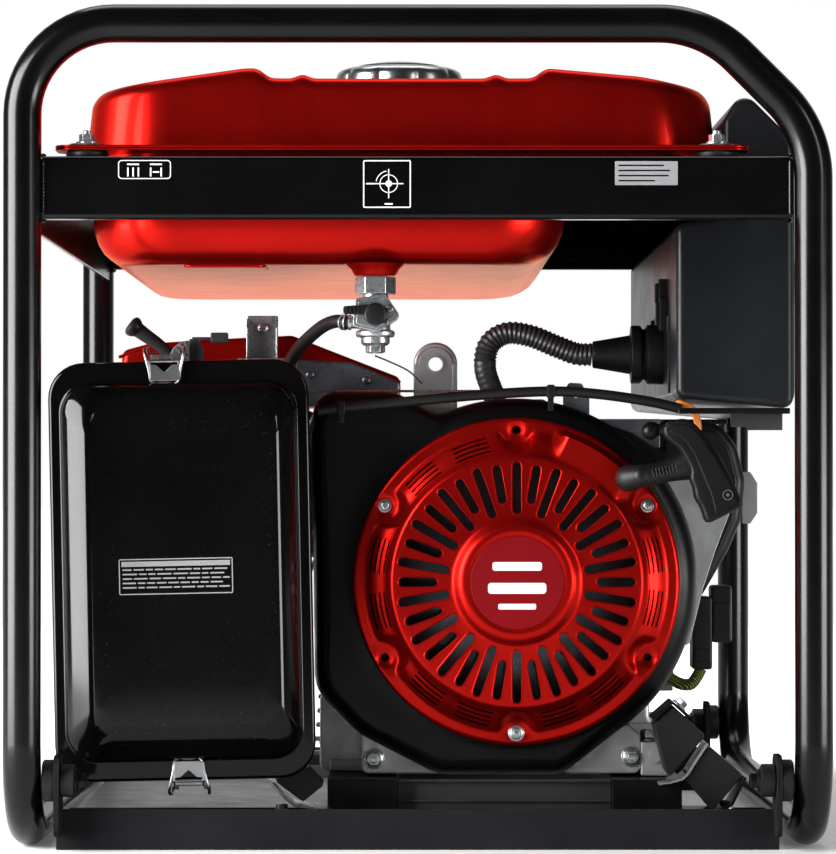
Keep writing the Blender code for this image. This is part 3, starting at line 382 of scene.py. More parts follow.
class Form:
    """One mesh, built up from simple solids."""

    def __init__(self):
        self.shape = bmesh.new()

    def take(self, part, bevel=0.0, segments=2, matrix=None):
        """Adds a bmesh, its sharp edges rounded by bevel and then placed by matrix."""
        bmesh.ops.recalc_face_normals(part, faces=part.faces)
        if bevel:
            sharp = [e for e in part.edges if len(e.link_faces) == 2 and e.calc_face_angle() > SHARP]
            bmesh.ops.bevel(part, geom=sharp, offset=bevel, segments=segments, affect="EDGES", profile=0.5)
        if matrix is not None:
            bmesh.ops.transform(part, matrix=matrix, verts=part.verts)
            if matrix.determinant() < 0:
                bmesh.ops.reverse_faces(part, faces=part.faces)
        mesh = bpy.data.meshes.new("part")
        part.to_mesh(mesh)
        part.free()
        self.shape.from_mesh(mesh)
        bpy.data.meshes.remove(mesh)
        return self

    def copy(self, mesh, matrix):
        part = bmesh.new()
        part.from_mesh(mesh)
        return self.take(part, matrix=matrix)

    def block(self, x, y, z, bevel=0.0006, matrix=None):
        part = bmesh.new()
        bmesh.ops.create_cube(part, size=1)
        spans = (x, y, z)
        size = Matrix.Diagonal([high - low for low, high in spans]).to_4x4()
        centre = Matrix.Translation([(low + high) / 2 for low, high in spans])
        bmesh.ops.transform(part, matrix=centre @ size, verts=part.verts)
        return self.take(part, bevel, matrix=matrix)

    def loft(self, rings, caps=(True, True), bevel=0.0, matrix=None, closed=False):
        """Skins rings of equal point counts; closed joins the last ring to the first."""
        part = bmesh.new()
        rows = [[part.verts.new(point) for point in ring] for ring in rings]
        pairs = list(zip(rows, rows[1:]))
        if closed:
            pairs.append((rows[-1], rows[0]))
        for lower, upper in pairs:
            for i in range(len(lower)):
                j = (i + 1) % len(lower)
                part.faces.new((lower[i], lower[j], upper[j], upper[i]))
        if not closed:
            for wanted, row in zip(caps, (rows[0], rows[-1])):
                if wanted:
                    part.faces.new(row)
        bmesh.ops.remove_doubles(part, verts=part.verts, dist=1e-7)
        return self.take(part, bevel, matrix=matrix)

    def turned(self, profile, matrix=None, steps=64, bevel=0.0, ring=False):
        """A profile of (radius, height) points turned about the matrix's Z axis."""
        angles = [2 * math.pi * k / steps for k in range(steps)]
        rings = [[(r * math.cos(a), r * math.sin(a), h) for a in angles] for r, h in profile]
        caps = (profile[0][0] > 1e-6, profile[-1][0] > 1e-6)
        return self.loft(rings, caps, bevel, matrix, closed=ring)

    def rod(self, start, end, radius, sides=32, end_radius=None, bevel=0.0004):
        length = (Vector(end) - Vector(start)).length
        last = radius if end_radius is None else end_radius
        matrix = standing(start, Vector(end) - Vector(start))
        return self.turned([(radius, 0), (last, length)], matrix, sides, bevel)

    def sweep(self, path, radius, sides=16, caps=(True, True), closed=False, flat=1.0):
        """A tube along a path; radius is one number or one for each point, and flat squeezes it."""
        points = [Vector(point) for point in path]
        radii = radius if isinstance(radius, (list, tuple)) else [radius] * len(points)
        count = len(points)
        rings = []
        normal = None
        for i, point in enumerate(points):
            after = points[(i + 1) % count] if closed else points[min(i + 1, count - 1)]
            before = points[i - 1] if closed else points[max(i - 1, 0)]
            tangent = (after - before).normalized()
            if normal is None:
                normal = tangent.orthogonal().normalized()
                if flat != 1.0:
                    normal = UP_Y.cross(tangent).normalized()
            normal = (normal - tangent * normal.dot(tangent)).normalized()
            side = tangent.cross(normal)
            angles = [2 * math.pi * k / sides for k in range(sides)]
            rings.append([
                point + (normal * math.cos(a) + side * math.sin(a) * flat) * radii[i] for a in angles
            ])
        return self.loft(rings, caps, closed=closed)

    def plate(self, outline, axis, low, high, bevel=0.0004, holes=(), matrix=None):
        """A flat outline, with holes, as a plate from low to high along an axis."""
        if not holes:
            rings = [[lifted(axis, a, b, height) for a, b in outline] for height in (low, high)]
            return self.loft(rings, bevel=bevel, matrix=matrix)
        curve = bpy.data.curves.new("outline", "CURVE")
        curve.dimensions = "2D"
        curve.fill_mode = "BOTH"
        curve.extrude = (high - low) / 2
        for loop in (outline, *holes):
            spline = curve.splines.new("POLY")
            spline.points.add(len(loop) - 1)
            for point, (x, y) in zip(spline.points, loop):
                point.co = (x, y, 0, 1)
            spline.use_cyclic_u = True
        source = bpy.data.objects.new("outline", curve)
        bpy.context.scene.collection.objects.link(source)
        graph = bpy.context.evaluated_depsgraph_get()
        graph.update()
        mesh = bpy.data.meshes.new_from_object(source.evaluated_get(graph))
        bpy.data.objects.remove(source, do_unlink=True)
        part = bmesh.new()
        part.from_mesh(mesh)
        bpy.data.meshes.remove(mesh)
        bmesh.ops.remove_doubles(part, verts=part.verts, dist=1e-6)
        bmesh.ops.dissolve_limit(part, angle_limit=0.01, verts=part.verts, edges=part.edges)
        for vert in part.verts:
            vert.co = lifted(axis, vert.co.x, vert.co.y, vert.co.z + (low + high) / 2)
        return self.take(part, bevel, matrix=matrix)

    def pillow(self, outline, axis, back, front, radius, steps=8, matrix=None, back_radius=0.0):
        """An anticlockwise outline as a plate whose front edge is rounded by a quarter circle."""
        sign = 1 if front > back else -1
        rings = []
        if back_radius:
            for k in range(steps):
                turn = math.radians(90) * k / steps
                reach = back_radius * (1 - math.sin(turn))
                height = back + sign * back_radius * (1 - math.cos(turn))
                rings.append([lifted(axis, a, b, height) for a, b in inset(outline, reach)])
            rings.append([lifted(axis, a, b, back + sign * back_radius) for a, b in outline])
        else:
            rings.append([lifted(axis, a, b, back) for a, b in outline])
        for k in range(steps + 1):
            turn = math.radians(90) * k / steps
            reach, height = radius * (1 - math.cos(turn)), front - sign * radius * (1 - math.sin(turn))
            rings.append([lifted(axis, a, b, height) for a, b in inset(outline, reach)])
        return self.loft(rings, matrix=matrix)

    def mesh(self, name):
        made = bpy.data.meshes.new(name)
        self.shape.to_mesh(made)
        self.shape.free()
        return made

    def piece(self, name, finish, body="root", nodes=(), sharp=SHARP, matrix=None):
        """The finished piece: its material, body, slot and the CAD nodes that it stands for."""
        made = self.mesh(name)
        if matrix is not None:
            made.transform(matrix)
        return piece_of(name, made, finish, body, nodes, sharp)


def piece_of(name, mesh, finish, body="root", nodes=(), sharp=SHARP):
    """A mesh as an object that rides on a body, in place of the CAD nodes it stands for."""
    thing = bpy.data.objects.new(name, mesh)
    bpy.context.scene.collection.objects.link(thing)
    mesh.materials.clear()
    mesh.materials.append(LOOKS[finish])
    mesh.shade_smooth()
    mesh.set_sharp_from_angle(angle=sharp)
    evener = thing.modifiers.new("even_normals", "WEIGHTED_NORMAL")
    evener.keep_sharp = True
    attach(thing, body)
    if nodes:
        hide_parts(*nodes)
    return thing


def carved(form, cutter, name):
    """The form's mesh with the cutter's taken out of it."""
    objects = []
    for label, source in ((name, form), (name + "_cutter", cutter)):
        thing = bpy.data.objects.new(label, source.mesh(label))
        bpy.context.scene.collection.objects.link(thing)
        objects.append(thing)
    target, tool = objects
    modifier = target.modifiers.new("cut", "BOOLEAN")
    modifier.operation = "DIFFERENCE"
    modifier.solver = "MANIFOLD"
    modifier.object = tool
    graph = bpy.context.evaluated_depsgraph_get()
    graph.update()
    result = bpy.data.meshes.new_from_object(target.evaluated_get(graph))
    for thing in objects:
        bpy.data.objects.remove(thing, do_unlink=True)
    return result


# Fasteners, made once and copied


def phillips_head():
    """A pan head of radius 1 with a crossed recess, its top towards +Z."""
    head = Form().turned([(1, 0), (1, 0.25), (0.93, 0.45), (0.75, 0.62), (0.4, 0.72), (0, 0.74)], steps=40)
    cross = Form()
    for spans in (((-0.55, 0.55), (-0.11, 0.11)), ((-0.11, 0.11), (-0.55, 0.55))):
        cross.block(*spans, (0.34, 1.0), bevel=0)
    return carved(head, cross, "phillips")


def hexagon(radius, turn=0.0):
    """A hexagon by its corner radius."""
    return [(radius * math.cos(math.radians(60 * k + turn)), radius * math.sin(math.radians(60 * k + turn)))
            for k in range(6)]


def hex_head():
    """A flanged hexagon head of flange radius 1, its top towards +Z."""
    form = Form().turned([(1, 0), (1, 0.12), (0.8, 0.22), (0.62, 0.26), (0, 0.26)], steps=40)
    form.plate(hexagon(0.74), "Z", 0.15, 0.82, bevel=0.05)
    form.turned([(0.5, 0.8), (0.5, 0.86), (0.42, 0.9), (0, 0.9)], steps=32)
    return form.mesh("hex_head")


PHILLIPS, HEX = phillips_head(), hex_head()


def fastener(form, kind, place, direction, radius):
    """Adds a screw or bolt head to a form, its top along direction."""
    return form.copy(kind, standing(place, direction) @ Matrix.Scale(radius, 4))


# Frame


def frame_loops():
    """The two bent tubes, each on into half of the base rails."""
    for side, sign in SIDES.items():
        y = sign * LOOP_Y
        corners = [
            (-LEG_X, 0, TUBE_R), (-LEG_X, y, TUBE_R), (-LEG_X, y, TOP_Z), (CHAMFER_TOP_X, y, TOP_Z),
            (LEG_X, y, CHAMFER_SIDE_Z), (LEG_X, y, TUBE_R), (LEG_X, 0, TUBE_R),
        ]
        path = rounded(corners, [0, 0.06, 0.061, 0.075, 0.075, 0.06, 0], 14)
        Form().sweep(path, TUBE_R, 48).piece(f"{side}_tube", "gloss_black", nodes=[f"{side}_loop"])


def weld(form, start, end, radius=0.0018):
    """A bead of overlapping ripples from start to end."""
    start, end = Vector(start), Vector(end)
    count = max(int((end - start).length / 0.0007), 6)
    path, radii = [], []
    for k in range(count + 1):
        wander = Vector([random.uniform(-1, 1) for _ in range(3)]) * radius * 0.04
        path.append(start.lerp(end, k / count) + wander)
        taper = min(1.0, 0.5 + k / 4, 0.5 + (count - k) / 4)
        radii.append(radius * taper * (0.95 + 0.05 * math.cos(k * 1.9)))
    return form.sweep(path, radii, 10)


def crossbars():
    """Channel bars between the legs, with their weld beads."""
    for side, sign in SIDES.items():
        face, web = LOOP_Y + SHEET / 3, LOOP_Y - SHEET * 2 / 3
        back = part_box("rear_crossbar")[0].y
        low, high = BAR_LOW.z, BAR_HIGH.z
        outline = [
            (face, low), (face, high), (back, high), (back, high - SHEET), (web, high - SHEET),
            (web, low + SHEET), (web - 0.012, low + SHEET), (web - 0.012, low),
        ]
        bends = [0.0035, 0.0035, 0.001, 0.001, 0.0012, 0.0012, 0.001, 0.001]
        bent = [(sign * y, z) for y, z in rounded(outline, bends, 5, closed=True)]
        bar = Form().plate(bent, "X", BAR_LOW.x, BAR_HIGH.x, bevel=0.0003)
        bar.piece(f"{side}_bar", "gloss_black", nodes=[f"{side}_crossbar"])
        beads = Form()
        for x in (BAR_LOW.x + 0.0005, BAR_HIGH.x - 0.0002):
            weld(beads, (x, sign * (face + 0.0005), low + 0.002), (x, sign * (face + 0.0005), high - 0.002))
            weld(beads, (x, sign * (face - 0.004), high + 0.0005), (x, sign * 0.322, high + 0.0005))
            weld(beads, (x, sign * (face - 0.004), low - 0.0005), (x, sign * 0.322, low - 0.0005))
        beads.piece(f"{side}_bar_welds", "gloss_black")


def bar_marks():
    """Generic printed marks on the front crossbar: an open and shut tap, a turning tap and a rating plate."""
    y = -LOOP_Y - SHEET / 3
    ink = (y - 0.0002, y + 0.0005)
    marks = Form()

    def frame_mark(x, z, radius, width=0.0007):
        outer = rectangle(x, z, radius)
        marks.plate(outer, "Y", *ink, bevel=0, holes=[inset(outer, width)])

    def bar_mark(x, z):
        marks.block(x, ink, z, bevel=0)

    frame_mark((-0.1995, -0.1643), (0.4475, 0.4602), 0.0025)
    for centre, shut in ((-0.1895, True), (-0.1743, False)):
        for side in (-1, 1):
            x = centre + side * 0.0035
            bar_mark((x - 0.0005, x + 0.0005), (0.4492, 0.4552))
        if shut:
            bar_mark((centre - 0.0005, centre + 0.0005), (0.4492, 0.4552))
        else:
            bar_mark((centre - 0.0022, centre + 0.0022), (0.4517, 0.4527))
        bar_mark((centre - 0.004, centre + 0.004), (0.4568, 0.4578))
    frame_mark((-0.0366, -0.0047), (0.4283, 0.4602), 0.0012, 0.0009)
    hub = (-0.0195, 0.4445)
    marks.plate(circle(hub, 0.0062), "Y", *ink, bevel=0, holes=[circle(hub, 0.0056)])
    marks.plate(circle(hub, 0.0022, 24), "Y", *ink, bevel=0)
    for turn in (0, 90, 180, 270):
        spin = Matrix.Translation((hub[0], 0, hub[1])) @ Matrix.Rotation(math.radians(turn), 4, "Y")
        marks.block((-0.0004, 0.0004), ink, (0.0022, 0.0098), bevel=0, matrix=spin)
    bar_mark((-0.0345, -0.0292), (0.4440, 0.4450))
    bar_mark((-0.0222, -0.0168), (0.4305, 0.4315))
    arc_mark = arc(hub, 0.0088, 100, 170, 14) + arc(hub, 0.0082, 170, 100, 14)
    marks.plate(arc_mark, "Y", *ink, bevel=0)
    marks.piece("bar_marks", "print_white")
    plate = Form().plate(rectangle((0.131, 0.1729), (0.4435, 0.4595), 0.0006), "Y", y - 0.0003, y + 0.0005, 0.0001)
    plate.piece("rating_plate", "print_grey")
    lines = Form()
    for k, length in enumerate((0.030, 0.034, 0.033, 0.024)):
        z = 0.4562 - 0.0034 * k
        lines.block((0.1335, 0.1335 + length), (y - 0.00045, y), (z, z + 0.0009), bevel=0)
    lines.piece("rating_lines", "print_and_painted_shade")


def isolators():
    """Rubber bush with its steel washers and bolt at each foot of the loops."""
    for side in SIDES:
        for hand, way in HANDS.items():
            low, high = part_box(f"isolator_{side}_{hand}")
            centre = (low + high) / 2
            inner = low.x if way > 0 else high.x
            outer = high.x if way > 0 else low.x
            length = abs(outer - inner)
            place = standing((inner, centre.y, centre.z), (way, 0, 0))
            profile = [
                (0.0085, 0), (0.011, 0.0012), (0.011, 0.0095), (0.0095, 0.0105), (0.0095, 0.0135),
                (0.0135, 0.0142), (0.014, 0.0155), (0.014, length - 0.0012), (0.0128, length),
            ]
            bush = Form().turned(profile, place, 48)
            bush.piece(f"bush_{side}_{hand}", "rubber", nodes=[f"isolator_{side}_{hand}"])
            bolt = fastener(Form(), HEX, (inner, centre.y, centre.z), (-way, 0, 0), 0.0078)
            bolt.piece(f"bush_bolt_{side}_{hand}", "satin_black")


def strap(points, thickness=0.0018):
    """The outline of a bent strip that follows the points."""
    path = [Vector(point) for point in points]
    sides = ([], [])
    for k, point in enumerate(path):
        along = (path[min(k + 1, len(path) - 1)] - path[max(k - 1, 0)]).normalized()
        across = Vector((-along.y, along.x)) * thickness / 2
        sides[0].append(tuple(point + across))
        sides[1].append(tuple(point - across))
    return sides[0] + sides[1][::-1]


def engine_mount_details():
    """Slanted rubber blocks beside the rails, with their bent steel brackets and bolts."""
    y = (-0.250, -0.214)
    wide = (-0.252, -0.212)
    rubber = Form()
    upper = [(0.1617, 0.0796), (0.1714, 0.0424), (0.1976, 0.0721), (0.1749, 0.0928)]
    lower = [(0.1818, 0.0438), (0.2018, 0.0203), (0.2232, 0.0452), (0.1997, 0.0652)]
    for outline in (upper, lower):
        rubber.plate(rounded(outline, 0.003, 4, closed=True), "Y", *y, bevel=0.0012)
    low = [(-0.0785, 0.0269), (-0.0640, 0.0385), (-0.0755, 0.0503), (-0.0990, 0.0420)]
    rubber.plate(rounded(low, 0.002, 4, closed=True), "Y", *y, bevel=0.0012)
    rubber.piece("mount_rubber", "rubber", nodes=["engine_mount_left", "engine_mount_right"])
    brackets = Form()
    for points in (
        [(0.1650, 0.0392), (0.1730, 0.0402), (0.1810, 0.0424), (0.1850, 0.0460), (0.1900, 0.0540), (0.1985, 0.0668)],
        [(-0.1080, 0.0428), (-0.1010, 0.0406), (-0.0900, 0.0290), (-0.0840, 0.0245), (-0.0600, 0.0212)],
    ):
        brackets.plate(strap(points), "Y", *wide, bevel=0.0004)
    brackets.piece("mount_brackets", "zinc")
    feet = Form().block((0.1711, 0.2180), wide, (0.0192, 0.0214), 0.0008)
    feet.plate(strap([(0.2040, 0.0200), (0.2150, 0.0250), (0.2245, 0.0440)], 0.0022), "Y", *wide, bevel=0.0005)
    feet.plate(strap([(0.1610, 0.0830), (0.1745, 0.0950), (0.1860, 0.0850)], 0.0022), "Y", *wide, bevel=0.0005)
    feet.piece("mount_feet", "satin_black")
    bolts = Form()
    middle_y = (y[0] + y[1]) / 2
    for place, direction, radius in (
        ((0.2125, middle_y, 0.0214), (0, 0, 1), 0.0060),
        ((-0.0935, middle_y, 0.0196), (0, 0, 1), 0.0055),
        ((0.1800, middle_y, 0.0915), (0.68, 0, 0.73), 0.0060),
    ):
        fastener(bolts, HEX, place, direction, radius)
    bolts.piece("mount_bolts", "zinc")


# Fuel tank


TANK_CORNER = 0.058
TANK_END = 0.2975
TANK_LEFT, TANK_RIGHT = -0.2275, 0.2050
TOP_PROFILE = [(-0.2275, 0.5085), (-0.2150, 0.5125), (-0.118, 0.5262), (-0.1085, 0.5264), (-0.1000, 0.5196),
               (-0.084, 0.5194), (-0.080, 0.5222), (-0.076, 0.5222), (-0.072, 0.5194), (0.047, 0.5194),
               (0.051, 0.5222), (0.055, 0.5222), (0.059, 0.5194), (0.078, 0.5196), (0.087, 0.5264),
               (0.150, 0.5208), (0.194, 0.5135), (0.2050, 0.5085)]


def height_at(profile, x):
    """The height of a profile of (x, z) points, its corners eased over a few millimetres."""
    total = 0.0
    for shift in (-0.003, -0.0015, 0, 0.0015, 0.003):
        place = min(max(x + shift, profile[0][0]), profile[-1][0])
        for (x0, z0), (x1, z1) in zip(profile, profile[1:]):
            if x0 <= place <= x1:
                total += z0 + (z1 - z0) * (place - x0) / (x1 - x0)
                break
    return total / 5


def plan_ring(left, right, end, corner, divisions=140):
    """A rounded rectangle seen from above, with its straight sides divided finely."""
    points = []
    centres = [(right - corner, end - corner, 0), (left + corner, end - corner, 90),
               (left + corner, corner - end, 180), (right - corner, corner - end, 270)]
    for k, (x, y, start) in enumerate(centres):
        bend = arc((x, y), corner, start, start + 90, 14)
        points += bend
        following = centres[(k + 1) % 4]
        first = Vector(bend[-1])
        last = Vector(arc(following[:2], corner, following[2], following[2], 1)[0])
        count = divisions if k % 2 == 0 else 24
        points += [tuple(first.lerp(last, j / count)) for j in range(1, count)]
    return points


def tank_rings(left, right, levels, lean=0.0):
    """Rings down a tank half's side: levels are (inset, height of a point from its x); lean tips the right end."""
    rings = []
    for reach, height in levels:
        outline = plan_ring(left + reach, right - reach - lean * reach, TANK_END - reach, TANK_CORNER - reach)
        rings.append([(x, y, height(x)) for x, y in outline])
    last = rings[-1]
    for share in (0.9, 0.6, 0.3, 0.0):
        rings.append([(x, y * share, z) for x, y, z in last])
    return rings


def tank_flange(low, high):
    """The seam flange, with an ear at each corner for its bolt."""
    box_low, box_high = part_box("tank_upper_shell")
    left, right, deep, ear = box_low.x, box_high.x, box_high.y, 0.288
    corners = [
        (left, -deep), (right, -deep), (right, -ear), (0.204, -ear), (0.204, ear), (right, ear),
        (right, deep), (left, deep), (left, ear), (-0.226, ear), (-0.226, -ear), (left, -ear),
    ]
    outline = rounded(corners, [0.012, 0.012, 0.006, 0.006, 0.006, 0.006] * 2, 5, closed=True)
    return Form().plate(outline, "Z", low, high, bevel=0.0005)


def tank():
    """The two pressed halves of the tank with their seam, and a dark sheet over the gap beside the lower one as painted
    shade under the tank.
    """
    rounding, draft = 0.010, 0.0035
    levels = [(0.0, lambda x: SEAM_Z)]
    for share in (0.35, 0.7, 1.0):
        levels.append((draft * share, lambda x, k=share: SEAM_Z + (height_at(TOP_PROFILE, x) - rounding - SEAM_Z) * k))
    for k in range(1, 9):
        turn = math.radians(11.25 * k)
        levels.append((draft + rounding * (1 - math.cos(turn)),
                       lambda x, t=turn: height_at(TOP_PROFILE, x) - rounding * (1 - math.sin(t))))
    shell = Form().loft(tank_rings(TANK_LEFT, TANK_RIGHT, levels), caps=(True, False))
    shell.turned([(0.040, 0.5180), (0.037, 0.5205), (0.034, 0.5230), (0.034, 0.5270), (0.031, 0.5275), (0, 0.5275)],
                 Matrix.Translation((CAP.x, CAP.y, 0)), 64)
    shell.piece("tank_upper", "red_paint", nodes=["tank_upper_shell"])
    tank_flange(SEAM_Z + 0.0001, SEAM_Z + 0.0017).piece("tank_seam_upper", "red_paint")
    deep = [(0.0, SEAM_Z), (0.0008, 0.430), (0.0022, 0.418), (0.0050, 0.409), (0.0090, 0.4025), (0.0135, 0.3985),
            (0.0190, 0.3955), (0.0260, 0.3941), (0.0340, 0.3940)]
    levels = [(reach, lambda x, z=z: z) for reach, z in deep]
    shell = Form().loft(tank_rings(-0.2245, 0.1030, levels, 0.35), caps=(True, False))
    shallow = [(0.0, SEAM_Z), (0.001, 0.446), (0.003, 0.438), (0.008, 0.432), (0.015, 0.430)]
    levels = [(reach, lambda x, z=z: z) for reach, z in shallow]
    shell.loft(tank_rings(-0.2240, TANK_RIGHT - 0.001, levels), caps=(True, False))
    shell.plate(rectangle((-0.160, -0.104), (-0.262, -0.205), 0.006), "Z", 0.3925, 0.396, 0.001)
    boss = [(0.0135, 0.3860), (0.0150, 0.3875), (0.0165, 0.3905), (0.021, 0.3945), (0, 0.3945)]
    shell.turned([(0, 0.3860), *boss], Matrix.Translation((TAP.x, TAP.y, 0)), 48)
    shell.piece("tank_lower", "red_paint", nodes=["tank_lower_shell"])
    tank_flange(SEAM_Z - 0.0017, SEAM_Z - 0.0001).piece("tank_seam_lower", "red_paint")
    # Black sheet under the tank's right end: painted shade in place of the shadow under the tank.
    shade = Form().block((0.1000, 0.1950), (-0.2900, 0.2900), (0.4262, 0.4276), 0.0004)
    shade.piece("tank_painted_shade", "print_and_painted_shade")


def tank_fixings():
    """Rubber grommet, washer and bolt on each corner's ear."""
    for side in SIDES:
        for hand in HANDS:
            node = f"tank_bolt_{side}_{hand}"
            centre = middle(node)
            place = Matrix.Translation((centre.x, centre.y, 0))
            low = BAR_HIGH.z
            grommet = [(0, low + 0.0002), (0.0135, low + 0.0002), (0.0142, low + 0.0012), (0.0142, low + 0.0034),
                       (0.0132, low + 0.0045), (0, low + 0.0045)]
            Form().turned(grommet, place, 40).piece(f"grommet_{side}_{hand}", "rubber", nodes=[node])
            washer = [(0, 0.4712), (0.0118, 0.4712), (0.0121, 0.4717), (0.0118, 0.4724), (0.0070, 0.4727),
                      (0, 0.4727)]
            bolt = Form().turned(washer, place, 40)
            fastener(bolt, HEX, (centre.x, centre.y, 0.4727), (0, 0, 1), 0.0076)
            bolt.turned([(0.0028, 0.4780), (0.0028, 0.4812), (0.0024, 0.4816), (0, 0.4816)], place, 20)
            bolt.piece(f"tank_screw_{side}_{hand}", "zinc")


def filler_cap():
    """A domed plated cap whose rim is scalloped for the hand."""
    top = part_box("filler_cap")[1].z
    levels = [
        (0.029, 0.5205, 0), (0.029, 0.5285, 0), (0.0440, 0.5285, 0.6), (0.0462, 0.5300, 1.0),
        (0.0470, 0.5350, 1.0), (0.0464, 0.5400, 1.0), (0.0450, 0.5428, 0.8), (0.0420, 0.5446, 0.4),
        (0.0385, 0.5458, 0.15), (0.034, 0.5464, 0), (0.031, 0.5462, 0), (0.030, 0.5478, 0),
        (0.018, top - 0.001, 0), (0.0001, top, 0),
    ]
    rings = []
    for radius, height, wave in levels:
        ring = []
        for k in range(192):
            angle = 2 * math.pi * k / 192
            scallop = 0.0022 * wave * (abs(math.sin(5 * angle)) ** 0.7 - 1)
            ring.append(((radius + scallop) * math.cos(angle), (radius + scallop) * math.sin(angle), height))
        rings.append(ring)
    cap = Form().loft(rings, matrix=Matrix.Translation((CAP.x, CAP.y, 0)))
    cap.piece("filler_cap_shell", "chrome", "cap", ["filler_cap"])


def fuel_gauge():
    """Gauge with its bezel, dial and marks on top of the tank."""
    centre = middle("fuel_gauge")
    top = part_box("fuel_gauge")[1].z
    place = Matrix.Translation((centre.x, centre.y, 0))
    bezel = [(0.026, 0.5195), (0.026, top - 0.003), (0.0245, top - 0.0005), (0.0225, top), (0.0215, top - 0.001),
             (0.0212, top - 0.003), (0.0212, 0.5195)]
    Form().turned(bezel, place, 64, ring=True).piece("gauge_bezel", "black_plastic", nodes=["fuel_gauge"])
    dial = Form().turned([(0.0213, 0.5195), (0.0213, top - 0.004), (0, top - 0.004)], place, 48)
    dial.piece("gauge_dial", "print_white")
    marks = Form()
    for k in range(9):
        spin = place @ spin_z(-70 + 17.5 * k)
        long = 0.0045 if k % 4 == 0 else 0.0028
        marks.block((-0.0004, 0.0004), (0.0185 - long, 0.0185), (top - 0.0042, top - 0.0036), 0, spin)
    marks.block((-0.0005, 0.0005), (-0.004, 0.014), (top - 0.0035, top - 0.0030), 0,
                place @ spin_z(35))
    marks.turned([(0.0025, top - 0.004), (0.0025, top - 0.0022), (0, top - 0.0020)], place, 24)
    marks.piece("gauge_marks", "print_and_painted_shade")


def fuel_tap():
    """Hexagon nut, body with its cover plate and screws, sediment bowl and spout."""
    x, y = TAP.x, TAP.y
    body = Form().plate([(x + a, y + b) for a, b in hexagon(0.0141)], "Z", 0.3735, 0.3852, 0.0009)
    body.rod((x, y, 0.366), (x, y, 0.375), 0.0088)
    face = [(x - 0.0155, 0.3512), (x + 0.002, 0.3472), (x + 0.0172, 0.358), (x + 0.0065, 0.3738), (x - 0.0135, 0.3702)]
    outline = rounded(face, 0.0032, 5, closed=True)
    body.plate(outline, "Y", y - 0.0137, y + 0.009, 0.0011)
    body.plate(inset(outline, 0.0022), "Y", y - 0.0146, y - 0.012, 0.0006)
    body.rod((x - 0.006, y, 0.3545), (x - 0.0182, y, 0.3545), 0.0042, 24)
    body.rod((x - 0.0162, y, 0.3545), (x - 0.0186, y, 0.3545), 0.0052, 24)
    bowl = [(0, 0.3335), (0.0052, 0.3335), (0.0058, 0.3342), (0.0058, 0.3380), (0.0086, 0.3392), (0.0098, 0.3405),
            (0.0098, 0.3440), (0.0125, 0.3446), (0.0133, 0.3456), (0.0133, 0.3478), (0.0120, 0.3490), (0.0102, 0.3494),
            (0.0102, 0.3540), (0, 0.3540)]
    body.turned(bowl, Matrix.Translation((x, y, 0)), 56)
    body.plate([(x + a, y + b) for a, b in hexagon(0.0068)], "Z", 0.3340, 0.3385, 0.0005)
    body.piece("tap_body", "zinc", nodes=["fuel_tap_body"])
    screws = Form()
    for place in ((x + 0.0098, 0.3632), (x + 0.0068, 0.3540)):
        fastener(screws, PHILLIPS, (place[0], y - 0.0144, place[1]), (0, -1, 0), 0.0029)
    screws.piece("tap_screws", "steel")
    low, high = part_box("fuel_tap_lever")
    centre = Vector((x, 0, (low.z + high.z) / 2))
    lever = Form().turned([(0, -high.y), (0.0075, -high.y), (0.0078, -high.y + 0.002), (0.0074, -low.y - 0.0010),
                           (0.0062, -low.y), (0, -low.y)], facing_front(x, centre.z), 40)
    arm = [(x - 0.0215, 0.3596), (x - 0.004, 0.3585), (x - 0.004, 0.3660), (x - 0.0215, 0.3646)]
    arm = rounded(arm, 0.0014, 4, True)
    lever.plate(arm, "Y", high.y - 0.0075, high.y - 0.0015, 0.0009)
    for k in range(4):
        at = x - 0.0195 + 0.0026 * k
        lever.block((at, at + 0.0011), (high.y - 0.0081, high.y - 0.007), (0.3600, 0.3642), 0.0003)
    lever.piece("tap_lever", "black_plastic", "tap_lever", ["fuel_tap_lever"])


def fuel_hose():
    """Hose from the tap to the carburettor, with its clips."""
    route = [
        (-0.0467, -0.2725, 0.3545), (-0.0497, -0.2724, 0.3547), (-0.0560, -0.2650, 0.3555), (-0.0645, -0.249, 0.3530),
        (-0.0745, -0.231, 0.3460), (-0.084, -0.208, 0.3372), (-0.0915, -0.190, 0.3260),
        (-0.0995, -0.180, 0.3080), (-0.1025, -0.178, 0.2905),
    ]
    path = smooth_route(route)
    Form().sweep(path, 0.0045, 24).piece("fuel_line", "rubber", nodes=["fuel_hose"])
    clamp = Form()
    for k in (6, 9, 58):
        ring = [path[k] + (path[k + 1] - path[k]).normalized() * 0.0002]
        direction = (path[k + 1] - path[k]).normalized()
        side = direction.orthogonal().normalized()
        up = direction.cross(side)
        loop = [ring[0] + (side * math.cos(a) + up * math.sin(a)) * 0.0051
                for a in [2 * math.pi * j / 28 for j in range(28)]]
        clamp.sweep(loop, 0.0006, 8, closed=True)
    for k in (6, 58):
        direction = (path[k + 1] - path[k]).normalized()
        up = Vector((0, -0.35, 1)).normalized()
        tail = path[k] + up * 0.0051
        clamp.rod(tail - direction * 0.0015, tail + up * 0.0045 - direction * 0.0015, 0.0006, 8, bevel=0)
        clamp.rod(tail + direction * 0.0015, tail + up * 0.0045 + direction * 0.0015, 0.0006, 8, bevel=0)
    clamp.piece("hose_clamps", "zinc")


# Air filter


def filter_ring(width, height, radius, y, steps=8):
    return [(a, y, b) for a, b in middle_rectangle(width, height, radius, steps)]


